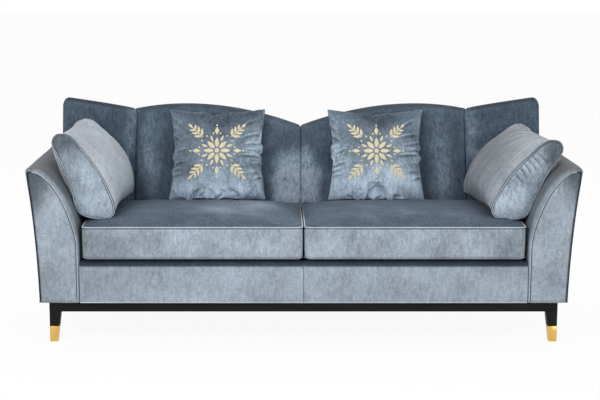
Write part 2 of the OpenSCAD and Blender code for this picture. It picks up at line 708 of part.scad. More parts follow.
// The wing's cover is closed on its outer side by a panel of its own
module wing_cover() {
    h = wing_top(wing_side_u);
    out = wing_out(wing_side_u);
    z = rear_seam_h(h);
    side = reversed(concat(back_profile(h, 0, out),
        [[rear_v(z) - cover_t, z], [rear_v(deck_h) - cover_t, deck_h + fit_gap]]));
    color(velvet) {
        difference() {
            loft([for (u = wing_places) wing_ring(u, cover_section(wing_top(u), wing_out(u)))]);
            arm_space(fit_gap);
        }
        difference() {
            loft([wing_ring(wing_side_u + fit_gap / 4, side), wing_ring(wing_w, side)]);
            arm_space(fit_gap);
        }
    }
}
module wing_padding_left() { on_side(-1) wing_padding(); }
module wing_padding_right() { on_side(1) wing_padding(); }
module wing_cover_left() { on_side(-1) wing_cover(); }
module wing_cover_right() { on_side(1) wing_cover(); }

function rear_section(top) = slab_section(base_z, top, 0, cover_t);
function rear_seam_h(h) = h - top_round - rear_seam_drop;
function x_mirrored(rings) = [for (ring = reversed(rings)) [for (p = ring) [-p[0], p[1], p[2]]]];
module outside_back_cover() {
    mid = [for (s = hump_places) hump_ring(s, rear_section(rear_seam_h(hump_top(abs(s) * seam_x))))];
    wing = concat(
        [for (u = concat(wing_places, [wing_w])) if (u > 0)
            wing_ring(u, rear_section(rear_seam_h(wing_top(u))))],
        [for (u = [wing_w + fit_gap, rear_far_u]) wing_ring(u, rear_section(arm_h))]);
    arms_right = concat(arm_outer_path, arm_corner(arm_edge_r), [[half_w - arm_edge_r, wing_h + over]]);
    color(velvet) intersection() {
        loft(concat(x_mirrored(wing), mid, wing));
        along_y(-half_d, half_d + over)
            polygon(concat(arms_right, [for (p = reversed(arms_right)) [-p[0], p[1]]]));
    }
}

// Cushions: points round a unit square, eight to a side, anticlockwise from above
edge_shares = [-1, -0.92, -0.7, -0.35, 0, 0.35, 0.7, 0.92];
side_count = len(edge_shares);
function square_point(i) = let (s = edge_shares[i % side_count], k = floor(i / side_count))
    k == 0 ? [s, -1] : k == 1 ? [1, s] : k == 2 ? [-s, 1] : [-1, -s];
square_points = [for (i = [0:4 * side_count - 1]) square_point(i)];
cap_share = 0.12;

// Seat cushion
seat_x0 = seat_gap / 2;
seat_x1 = seat_half - seat_side_gap;
seat_y0 = front_y + seat_front_in;
seat_y1 = inside_y - hump_swell - seat_side_gap;
seat_z0 = deck_h + fit_gap;
seat_z1 = seat_z0 + seat_border_h;
seat_mid = [(seat_x0 + seat_x1) / 2, (seat_y0 + seat_y1) / 2];
seat_size = [(seat_x1 - seat_x0) / 2, (seat_y1 - seat_y0) / 2];
seat_corner_share = 0.05;
// Cut of a seat cushion's rear edge where the wing stands forward
function seat_clip(x) = max(0, x - seam_x + seat_side_gap) * tan(wing_toe);
seat_edge_r = seat_crown / 4;
seat_top_shares = [0.965, 0.86, 0.66, 0.4];
function crown_share(u, v) = (1 - pow(u, 4)) * (1 - pow(v, 4));
function seat_point(p, q, inset, swell) = let (
        u = p[0] * q, v = p[1] * q, c = seat_corner_share / 2,
        x = seat_mid[0] + (seat_size[0] - inset) * u * sqrt(1 - c * v * v))
    [x, seat_mid[1] + (seat_size[1] - inset) * v * sqrt(1 - c * u * u)
         - (p[1] == -1 ? swell * (1 - pow(p[0], 4)) : 0) - seat_clip(x) * pow(max(0, v), 2)];
function seat_ring(z, inset, swell) = [for (p = square_points)
    let (c = seat_point(p, 1, inset, swell)) [c[0], c[1], z]];
function seat_top_ring(q) = [for (p = square_points)
    let (c = seat_point(p, q, seat_edge_r / 2, 0), k = q == cap_share ? 1 : crown_share(p[0] * q, p[1] * q))
    [c[0], c[1], seat_z1 + seat_crown * k]];
seat_core_y1 = seat_y1 - seat_clip(seat_x1) - wrap_t;
module seat_core_box(gap) {
    inset = wrap_t + gap;
    box(seat_x0 + inset, seat_x1 - inset, seat_y0 + inset, seat_core_y1 - gap,
        seat_z0 + cover_t + gap, seat_z1 - wrap_t / 2 - gap);
}
module seat_cushion_cover() {
    z_mid = (seat_z0 + seat_z1) / 2;
    zip_x = seat_size[0] / 2;
    color(velvet) difference() {
        loft(concat([
                seat_ring(seat_z0, seat_edge_r, 0), seat_ring(seat_z0 + seat_edge_r, 0, 0),
                seat_ring(z_mid, 0, seat_swell), seat_ring(seat_z1 - seat_edge_r, 0, 0),
                seat_ring(seat_z1, seat_edge_r / 2, 0)],
            [for (q = seat_top_shares) seat_top_ring(q)], [seat_top_ring(cap_share)]));
        seat_core_box(0);
        box(seat_mid[0] - zip_x, seat_mid[0] + zip_x, seat_core_y1 - over, seat_y1 + over,
            z_mid - zip_h / 2, z_mid + zip_h / 2);
    }
}
module seat_cushion_core() { color(foam) seat_core_box(fit_gap); }
module seat_cushion_cover_left() { on_side(-1) seat_cushion_cover(); }
module seat_cushion_cover_right() { on_side(1) seat_cushion_cover(); }
module seat_cushion_core_left() { on_side(-1) seat_cushion_core(); }
module seat_cushion_core_right() { on_side(1) seat_cushion_core(); }

// Scatter cushion: a knife edge with full corners and drawn sides
scatter_shares = [0.36, 0.6, 0.8, 0.93];
scatter_y = inside_y - scatter_back_in;
scatter_v = (scatter_y - seat_mid[1]) / seat_size[1];
scatter_z = seat_z1 + seat_crown * (1 - pow(scatter_v, 4));
function scatter_point(p, q, sign) = let (u = p[0] * q, v = p[1] * q,
        k = q == cap_share ? 1 : pow((1 - u * u) * (1 - v * v), 0.55))
    [u * (scatter_w / 2 - scatter_draw * (1 - v * v)), v * (scatter_h / 2 - scatter_draw * (1 - u * u)),
     sign * scatter_t / 2 * k];
function scatter_ring(q, sign) = [for (p = square_points) scatter_point(p, q, sign)];
module scatter_form() {
    shares = concat([cap_share], scatter_shares);
    loft(concat([for (q = shares) scatter_ring(q, -1)], [scatter_ring(1, 0)],
        [for (q = reversed(shares)) scatter_ring(q, 1)]));
}
module scatter_core_box(gap) {
    w = scatter_fill_w / 2 - gap;
    t = scatter_fill_t / 2 - gap;
    box(-w, w, -w, w, -t, t);
}
module scatter_place(x) {
    translate([x, scatter_y, scatter_z]) rotate([90 - scatter_lean, 0, 0])
        translate([0, scatter_h / 2, 0]) children();
}
module scatter_cushion_cover() {
    color(velvet) difference() {
        scatter_form();
        scatter_core_box(0);
        box(-scatter_fill_w / 3, scatter_fill_w / 3, -scatter_h, 0, -zip_h / 2, zip_h / 2);
    }
}
module scatter_cushion_filling() { color(foam) scatter_core_box(fit_gap); }
module scatter_cushion_cover_left() { scatter_place(scatter_left_in - seat_mid[0]) scatter_cushion_cover(); }
module scatter_cushion_cover_right() { scatter_place(seat_mid[0] - scatter_right_in) scatter_cushion_cover(); }
module scatter_cushion_filling_left() { scatter_place(scatter_left_in - seat_mid[0]) scatter_cushion_filling(); }
module scatter_cushion_filling_right() { scatter_place(seat_mid[0] - scatter_right_in) scatter_cushion_filling(); }

// Side cushion: a leaning teardrop end, lofted from front to back with a swollen broad face.
// Shares are of the end's width and height, clockwise from the lower inner corner.
side_outline_shares = [
    [0.092, 0.014], [0, 0.093], [0.024, 0.209], [0.085, 0.317], [0.155, 0.419], [0.229, 0.52],
    [0.314, 0.613], [0.405, 0.701], [0.502, 0.785], [0.601, 0.866], [0.702, 0.945], [0.819, 1],
    [0.955, 0.98], [1, 0.879], [0.931, 0.771], [0.858, 0.67], [0.787, 0.568], [0.722, 0.462],
    [0.661, 0.355], [0.61, 0.243], [0.562, 0.131], [0.487, 0.035], [0.359, 0], [0.225, 0]];
side_swell_shares = [0, 0.3, 0.6, 0.8, 0.95, 1, 1, 0.95, 0.85, 0.65, 0.4, 0.12,
    0, 0, 0.12, 0.25, 0.32, 0.32, 0.25, 0.15, 0.05, 0, 0, 0];
side_station_shares = [0, 0.05, 0.17, 0.36, 0.64, 0.83, 0.95, 1];
side_x = seat_half - side_inner_in;
side_y = inside_y - side_back_in - side_l;
side_z = seat_z1;
side_pivot = [side_x + side_w / 5, side_z + side_h / 6];
side_outline = [for (p = side_outline_shares) [side_x + p[0] * side_w, side_z + p[1] * side_h]];
// Filling: a slab along the middle of the teardrop
side_fill_shares = [[0.3, 0.2], [0.76, 0.82]];
side_fill_ends = [for (p = side_fill_shares) [side_x + p[0] * side_w, side_z + p[1] * side_h]];
module side_fill_slab(gap) {
    n = left_of(side_fill_ends[0], side_fill_ends[1]);
    t = side_fill_t / 2 - gap;
    a = side_fill_ends[0];
    b = side_fill_ends[1];
    m = side_l / 8 + gap;
    along_y(side_y + m, side_y + side_l - m) polygon([a - t * n, b - t * n, b + t * n, a + t * n]);
}
function side_ring(s) = let (w = side_swell * (1 - pow(abs(2 * s - 1), 2.5)))
    ring_inset(side_outline, [for (k = side_swell_shares) k * w]);
module side_form() {
    loft([for (s = side_station_shares) [for (p = side_ring(s)) [p[0], side_y + s * side_l, p[1]]]]);
}
// Turns a side cushion about a point of its underside, swings its rear end inward and sets it
// on the seat's crown, whose facets lie a little under the smooth curve
function seat_top(x, y) = seat_z1 + seat_crown * crown_share(
    min(1, abs(x - seat_mid[0]) / seat_size[0]), min(1, abs(y - seat_mid[1]) / seat_size[1]));
function turned_point(p, turn) = let (d = p - side_pivot)
    side_pivot + [d[0] * cos(turn) - d[1] * sin(turn), d[0] * sin(turn) + d[1] * cos(turn)];
function side_height(p, y, turn, toe) = let (q = turned_point(p, turn), dx = q[0] - side_x, dy = y - side_y)
    q[1] - seat_top(side_x + dx * cos(toe) - dy * sin(toe), side_y + dx * sin(toe) + dy * cos(toe));
module side_placed(turn, toe) {
    low = min([for (s = side_station_shares, p = side_ring(s))
        side_height(p, side_y + s * side_l, turn, toe)]);
    translate([side_x, side_y, 0]) rotate([0, 0, toe]) translate([-side_x, -side_y, 0])
        translate([side_pivot[0], 0, side_pivot[1] - low - 2 * fit_gap]) rotate([0, -turn, 0])
        translate([-side_pivot[0], 0, -side_pivot[1]]) children();
}
module side_cushion_cover(turn, toe) {
    zip_p = (side_fill_ends[0] + side_fill_ends[1]) / 2;
    color(velvet) side_placed(turn, toe) difference() {
        side_form();
        side_fill_slab(0);
        translate([zip_p[0], side_y + side_l / 2, zip_p[1]])
            box(-zip_h / 2, zip_h / 2, 0, side_l, -side_fill_t / 2, side_fill_t / 2);
    }
}
module side_cushion_filling(turn, toe) { color(foam) side_placed(turn, toe) side_fill_slab(fit_gap); }
module side_cushion_cover_left() { on_side(-1) side_cushion_cover(side_turn_left, side_toe_left); }
module side_cushion_cover_right() { on_side(1) side_cushion_cover(side_turn_right, side_toe_right); }
module side_cushion_filling_left() { on_side(-1) side_cushion_filling(side_turn_left, side_toe_left); }
module side_cushion_filling_right() { on_side(1) side_cushion_filling(side_turn_right, side_toe_right); }

plinth_front_rail();
plinth_rear_rail();
plinth_side_rails();
plinth_corner_blocks();
leg_front_left();
leg_front_right();
leg_rear_left();
leg_rear_right();
leg_cap_front_left();
leg_cap_front_right();
leg_cap_rear_left();
leg_cap_rear_right();
floor_glides();
leg_bolts();
plinth_screws();
seat_frame_front_rail();
seat_frame_rear_rail();
seat_frame_side_rails();
seat_frame_cross_rails();
seat_frame_corner_blocks();
seat_springs();
spring_clips();
deck_pad();
deck_cover();
dust_cover();
front_rail_padding();
front_rail_cover();
arm_frame_left();
arm_frame_right();
arm_padding_left();
arm_padding_right();
arm_cover_left();
arm_cover_right();
arm_front_panel_left();
arm_front_panel_right();
arm_piping_left();
arm_piping_right();
back_posts_and_lower_rail();
back_top_rail();
wing_frames();
back_webbing();
inside_back_padding();
inside_back_cover();
wing_padding_left();
wing_padding_right();
wing_cover_left();
wing_cover_right();
outside_back_cover();
seat_cushion_cover_left();
seat_cushion_cover_right();
seat_cushion_core_left();
seat_cushion_core_right();
scatter_cushion_cover_left();
scatter_cushion_cover_right();
scatter_cushion_filling_left();
scatter_cushion_filling_right();
side_cushion_cover_left();
side_cushion_cover_right();
side_cushion_filling_left();
side_cushion_filling_right();
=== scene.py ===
"""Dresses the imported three-seater sofa: upholstery, loose cushions, piping, plinth, legs and studio."""
from __future__ import annotations

import json
import logging
import math
from dataclasses import dataclass, field
from enum import Enum
from typing import Callable, Mapping, Sequence

import bmesh
import bpy
import numpy as np
from mathutils import Matrix, Vector, noise
from mathutils.bvhtree import BVHTree

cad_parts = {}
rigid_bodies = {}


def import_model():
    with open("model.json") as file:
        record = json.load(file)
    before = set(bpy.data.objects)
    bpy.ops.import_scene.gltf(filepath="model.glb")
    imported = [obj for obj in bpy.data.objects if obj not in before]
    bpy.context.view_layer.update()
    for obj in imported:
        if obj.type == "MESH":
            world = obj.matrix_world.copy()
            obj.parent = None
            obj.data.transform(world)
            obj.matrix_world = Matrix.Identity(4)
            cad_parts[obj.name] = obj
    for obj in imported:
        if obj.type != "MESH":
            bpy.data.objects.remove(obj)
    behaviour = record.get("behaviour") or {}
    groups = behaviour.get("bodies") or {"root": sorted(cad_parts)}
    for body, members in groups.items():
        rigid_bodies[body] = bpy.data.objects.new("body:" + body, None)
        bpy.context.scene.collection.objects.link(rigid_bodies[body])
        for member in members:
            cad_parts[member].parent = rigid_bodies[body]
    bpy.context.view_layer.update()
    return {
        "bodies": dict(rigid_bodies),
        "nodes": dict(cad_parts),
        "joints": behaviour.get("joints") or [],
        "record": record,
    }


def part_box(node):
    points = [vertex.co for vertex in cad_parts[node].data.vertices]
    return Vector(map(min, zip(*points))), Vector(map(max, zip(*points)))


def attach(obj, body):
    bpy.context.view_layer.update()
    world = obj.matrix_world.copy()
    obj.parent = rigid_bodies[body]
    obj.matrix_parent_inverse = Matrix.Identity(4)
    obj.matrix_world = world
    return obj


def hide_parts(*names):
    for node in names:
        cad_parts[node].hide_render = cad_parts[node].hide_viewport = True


LOG = logging.getLogger("sofa")
Colour = tuple[float, float, float, float]
Piece = bpy.types.Object
Array = np.ndarray


def shade(red: int, green: int, blue: int) -> Colour:
    """Turns a colour of a paint card, from 0 to 255, into scene linear."""
    parts = [(c / 255 / 12.92 if c <= 10 else ((c / 255 + 0.055) / 1.055) ** 2.4) for c in (red, green, blue)]
    return (parts[0], parts[1], parts[2], 1.0)


# Shaders


class Sock:
    """A value in a shader, with operators that add Math nodes."""

    def __init__(self, shader: "Shader", out: bpy.types.NodeSocket) -> None:
        """Keeps the shader and the socket that gives the value."""
        self.shader = shader
        self.out = out

    def _math(self, operation: str, first: object, second: object) -> "Sock":
        """Adds one Math node."""
        return self.shader.node("ShaderNodeMath", {"operation": operation}, {0: first, 1: second})

    def __add__(self, other: object) -> "Sock":
        """Adds."""
        return self._math("ADD", self, other)

    __radd__ = __add__

    def __sub__(self, other: object) -> "Sock":
        """Subtracts."""
        return self._math("SUBTRACT", self, other)

    def __rsub__(self, other: object) -> "Sock":
        """Subtracts this from a number."""
        return self._math("SUBTRACT", other, self)

    def __mul__(self, other: object) -> "Sock":
        """Multiplies."""
        return self._math("MULTIPLY", self, other)

    __rmul__ = __mul__

    def above(self, low: float, high: float) -> "Sock":
        """Rises smoothly from 0 at a low value to 1 at a high one."""
        span = {"Value": self, "From Min": low, "From Max": high}
        return self.shader.node("ShaderNodeMapRange", {"interpolation_type": "SMOOTHSTEP"}, span, "Result")

    def at_least(self, low: object) -> "Sock":
        """Keeps the value from falling below another."""
        return self._math("MAXIMUM", self, low)


class Shader:
    """Builds one material's nodes."""

    def __init__(self, name: str, world: bpy.types.World | None = None) -> None:
        """Starts a material with a Principled BSDF, or clears a world's nodes.

        Args:
            name: Name of the material.
            world: World whose nodes are built instead.
        """
        owner = world or bpy.data.materials.new(name)
        owner.use_nodes = True
        self.tree = owner.node_tree
        self.tree.nodes.clear()
        if world:
            self.output = self.tree.nodes.new("ShaderNodeOutputWorld")
            return
        self.material = owner
        self.output = self.tree.nodes.new("ShaderNodeOutputMaterial")
        self.surface = self.tree.nodes.new("ShaderNodeBsdfPrincipled")
        self.tree.links.new(self.surface.outputs[0], self.output.inputs[0])

    def put(self, socket: bpy.types.NodeSocket, value: object) -> None:
        """Links a value to a socket, or sets it there.

        Args:
            socket: Socket that takes the value.
            value: A Sock, a number or a list of numbers.
        """
        if isinstance(value, Sock):
            self.tree.links.new(value.out, socket)
        else:
            socket.default_value = value

    def node(self, kind: str, settings: Mapping[str, object] | None = None,
             inputs: Mapping[str | int, object] | None = None, output: str | int = 0) -> Sock:
        """Adds a node.

        Args:
            kind: Type of the node.
            settings: Its settings; "stops" holds a ramp's places and colours.
            inputs: Values or links of its sockets.
            output: Output that is wanted.

        Returns:
            That output.
        """
        made = self.tree.nodes.new(kind)
        for key, value in (settings or {}).items():
            if key == "stops":
                ramp = made.color_ramp
                for i, (place, colour) in enumerate(value):
                    stop = ramp.elements[i] if i < 2 else ramp.elements.new(place)
                    stop.position = place
                    stop.color = colour
            else:
                setattr(made, key, value)
        for key, value in (inputs or {}).items():
            self.put(made.inputs[key], value)
        return Sock(self, made.outputs[output])

    def finish(self, **inputs: object) -> bpy.types.Material:
        """Sets the Principled BSDF's sockets.

        Args:
            inputs: Values by socket name, with an underscore for a space.

        Returns:
            The material.
        """
        for key, value in inputs.items():
            self.put(self.surface.inputs[key.replace("_", " ")], value)
        return self.material

    def place(self, scale: Sequence[float] = (1, 1, 1), turn: Sequence[float] = (0, 0, 0)) -> Sock:
        """Gives Object coordinates, scaled and turned."""
        here = self.node("ShaderNodeTexCoord", output="Object")
        return self.node("ShaderNodeMapping", {}, {"Vector": here, "Scale": scale, "Rotation": turn})

    def cloud(self, where: Sock, scale: float, detail: float = 3.0, rough: float = 0.5) -> Sock:
        """Gives noise from 0 to 1."""
        return self.node("ShaderNodeTexNoise", {}, {
            "Vector": where, "Scale": scale, "Detail": detail, "Roughness": rough}, "Fac")

    def mix(self, share: object, low: object, high: object, blend: str = "MIX") -> Sock:
        """Mixes two colours."""
        return self.node("ShaderNodeMix", {"data_type": "RGBA", "blend_type": blend},
                         {0: share, 6: low, 7: high}, 2)

    def vector(self, operation: str, first: object, second: object) -> Sock:
        """Adds one Vector Math node."""
        return self.node("ShaderNodeVectorMath", {"operation": operation}, {0: first, 1: second})

    def tint(self, colour: object, amount: object) -> Sock:
        """Multiplies a colour by a number.

        Args:
            colour: The colour.
            amount: The number.

        Returns:
            The colour, brighter or darker.
        """
        if isinstance(colour, tuple):
            colour = colour[:3]
        return self.node("ShaderNodeVectorMath", {"operation": "SCALE"}, {0: colour, "Scale": amount})

    def bump(self, height: Sock, distance: float, strength: float = 1.0, below: Sock | None = None) -> Sock:
        """Turns a height into a normal.

        Args:
            height: Height from 0 to 1.
            distance: What 1 measures, in metres.
            strength: Strength of the bump.
            below: Normal that it is added to.

        Returns:
            The normal.
        """
        inputs: dict[str | int, object] = {"Height": height, "Distance": distance, "Strength": strength}
        if below is not None:
            inputs["Normal"] = below
        return self.node("ShaderNodeBump", {}, inputs)

    def direction(self, part: str) -> Sock:
        """Gives one part of the surface's own direction."""
        normal = self.node("ShaderNodeTexCoord", output="Normal")
        return self.node("ShaderNodeSeparateXYZ", {}, {0: normal}, part)


@dataclass(frozen=True)
class PaintedShadePatch:
    """A soft area of painted light and shade, by its middle, its reach and how much lighter it is (darker
    when the gain is negative).
    """

    middle: tuple[float, float, float]
    reach: tuple[float, float, float]
    gain: float
    soft: float = 0.9


@dataclass(frozen=True)
class Velvet:
    """Short-pile velvet in lit and shaded copies, one for each group of panels; their tones and patches are
    painted light and shade.
    """

    name: str
    # face is the tone of upright surfaces and top that of upward-facing ones; the difference between them is
    # painted light and shade.
    face: Colour
    top: Colour
    mottle: float = 0.16
    sheen: float = 0.30
    rise: tuple[float, float] = (0.25, 0.85)
    painted_patches: tuple[PaintedShadePatch, ...] = ()
    slot: str = "velvet"

    def make(self) -> bpy.types.Material:
        """Builds the material.

        Returns:
            The velvet.
        """
        s = Shader(self.name)
        here = s.place()
        # Upward-facing surfaces take the top tone: painted light and shade by how the surface faces.
        colour = s.mix(s.direction("Z").above(*self.rise), self.face, self.top)
        drift = s.node("ShaderNodeTexNoise", {}, {"Vector": here, "Scale": 4.5, "Detail": 2.0}, "Color")
        drift = s.vector("SUBTRACT", drift, (0.5, 0.5, 0.5))
        bent = s.vector("ADD", here, s.vector("MULTIPLY", drift, (0.16, 0.16, 0.16)))
        light: Sock | float = 1.0
        # Each patch paints light onto the colour, or shade where its gain is negative.
        for patch in self.painted_patches:
            away = s.vector("DIVIDE", s.vector("SUBTRACT", bent, patch.middle), patch.reach)
            far = s.node("ShaderNodeVectorMath", {"operation": "LENGTH"}, {0: away}, "Value")
            light = light * (1.0 + far.above(1.0, 1.0 - patch.soft) * patch.gain)
        # Painted light and shade stored on the points: shade in creases, on low edges and at contacts,
        # highlights on ridges, rolls and rims.
        fold = s.node("ShaderNodeAttribute", {"attribute_name": "fold"}, {}, "Fac")
        light = light * (1.0 + fold * 0.55).at_least(0.04)
        clouds = s.cloud(here, 8.0, 4.0, 0.60)
        brushed = s.cloud(s.place((2.4, 2.4, 0.85), (0.06, 0.10, 0.1)), 34.0, 5.0, 0.72)
        fleck = s.cloud(here, 150.0, 4.0, 0.75)
        coarse, fine = 4.0 * self.mottle, 4.6 * self.mottle
        light = light * (1.0 + (clouds - 0.5) * coarse + (brushed - 0.5) * fine + (fleck - 0.5) * fine)
        # Painted highlight: where the painted light passes 1, the colour pales towards a grey sheen.
        colour = s.mix((light - 1.0).above(0.0, 2.4) * 0.5, s.tint(colour, light), shade(190, 198, 206))
        weave = s.cloud(here, 1500.0, 2.0, 0.5)
        normal = s.bump(weave, 0.0004, 0.35)
        normal = s.bump(brushed, 0.0022, 0.5, normal)
        return s.finish(
            Base_Color=colour, Roughness=0.82 - (clouds - 0.5) * 0.2, Normal=normal,
            Sheen_Weight=self.sheen, Sheen_Roughness=0.42, Sheen_Tint=shade(214, 221, 228),
            Specular_IOR_Level=0.08)


@dataclass(frozen=True)
class OpenGrainWood:
    """Stained wood with open pores along its grain."""

    name: str
    dark: Colour
    light: Colour
    stretch: tuple[float, float, float]
    rough: float = 0.55
    coat: float = 0.03
    slot: str = "dark_wood"

    def make(self) -> bpy.types.Material:
        """Builds the material.

        Returns:
            The wood.
        """
        s = Shader(self.name)
        along = s.place(self.stretch)
        grain = s.cloud(along, 46.0, 6.0, 0.68)
        pores = s.cloud(along, 150.0, 3.0, 0.5).above(0.56, 0.70)
        colour = s.mix(grain.above(0.30, 0.72), self.dark, self.light)
        colour = s.tint(colour, 1.0 - pores * 0.55)
        wear = s.cloud(s.place(), 14.0, 3.0)
        normal = s.bump(pores, -0.0005, 0.8, s.bump(grain, 0.0004, 0.6))
        return s.finish(Base_Color=colour, Roughness=self.rough + (wear - 0.5) * 0.25, Normal=normal,
                        Coat_Weight=self.coat, Coat_Roughness=0.3, Specular_IOR_Level=0.16)


@dataclass(frozen=True)
class Metal:
    """Metal with fine brush lines."""

    name: str
    colour: Colour
    rough: float
    lines: tuple[float, float, float] = (1.0, 1.0, 18.0)
    slot: str = "brass"

    def make(self) -> bpy.types.Material:
        """Builds the material.

        Returns:
            The metal.
        """
        s = Shader(self.name)
        lines = s.cloud(s.place(self.lines), 260.0, 3.0, 0.6)
        stain = s.cloud(s.place(), 26.0, 3.0)
        colour = s.tint(self.colour, 0.92 + stain * 0.16)
        return s.finish(Base_Color=colour, Metallic=1.0, Roughness=self.rough + (lines - 0.5) * 0.14
                        + (stain - 0.5) * 0.08, Normal=s.bump(lines, 0.0001, 0.4))


@dataclass(frozen=True)
class Cloth:
    """Plain cloth, foam or strap, with a visible weave."""

    name: str
    colour: Colour
    scale: float = 900.0
    deep: float = 0.0004
    rough: float = 0.9
    slot: str = "velvet"

    def make(self) -> bpy.types.Material:
        """Builds the material.

        Returns:
            The cloth.
        """
        s = Shader(self.name)
        weave = s.cloud(s.place(), self.scale, 2.0)
        tone = s.cloud(s.place(), 12.0, 3.0)
        colour = s.tint(self.colour, 0.8 + tone * 0.25 + weave * 0.15)
        return s.finish(Base_Color=colour, Roughness=self.rough - tone * 0.1,
                        Normal=s.bump(weave, self.deep, 0.8), Sheen_Weight=0.1, Specular_IOR_Level=0.2)


@dataclass(frozen=True)
class SatinStitch:
    """Metallic thread laid side by side across a motif."""

    name: str
    thread: Colour
    shadow: Colour
    slot: str = "gold_thread"

    def make(self) -> bpy.types.Material:
        """Builds the material.

        Returns:
            The embroidery.
        """
        s = Shader(self.name)
        uv = s.node("ShaderNodeUVMap", {"uv_map": "Stitch"})
        rows = s.node("ShaderNodeTexWave", {"wave_type": "BANDS", "bands_direction": "X"},
                      {"Vector": uv, "Scale": 0.9, "Distortion": 0.6, "Detail": 1.0}, "Fac")
        tone = s.cloud(s.place(), 160.0, 3.0)
        colour = s.tint(s.mix(rows.above(0.1, 0.55), self.shadow, self.thread), 0.82 + tone * 0.36)
        return s.finish(Base_Color=colour, Roughness=0.38 + tone * 0.15, Metallic=0.1,
                        Normal=s.bump(rows, 0.0005, 0.9), Sheen_Weight=0.15, Specular_IOR_Level=0.6)


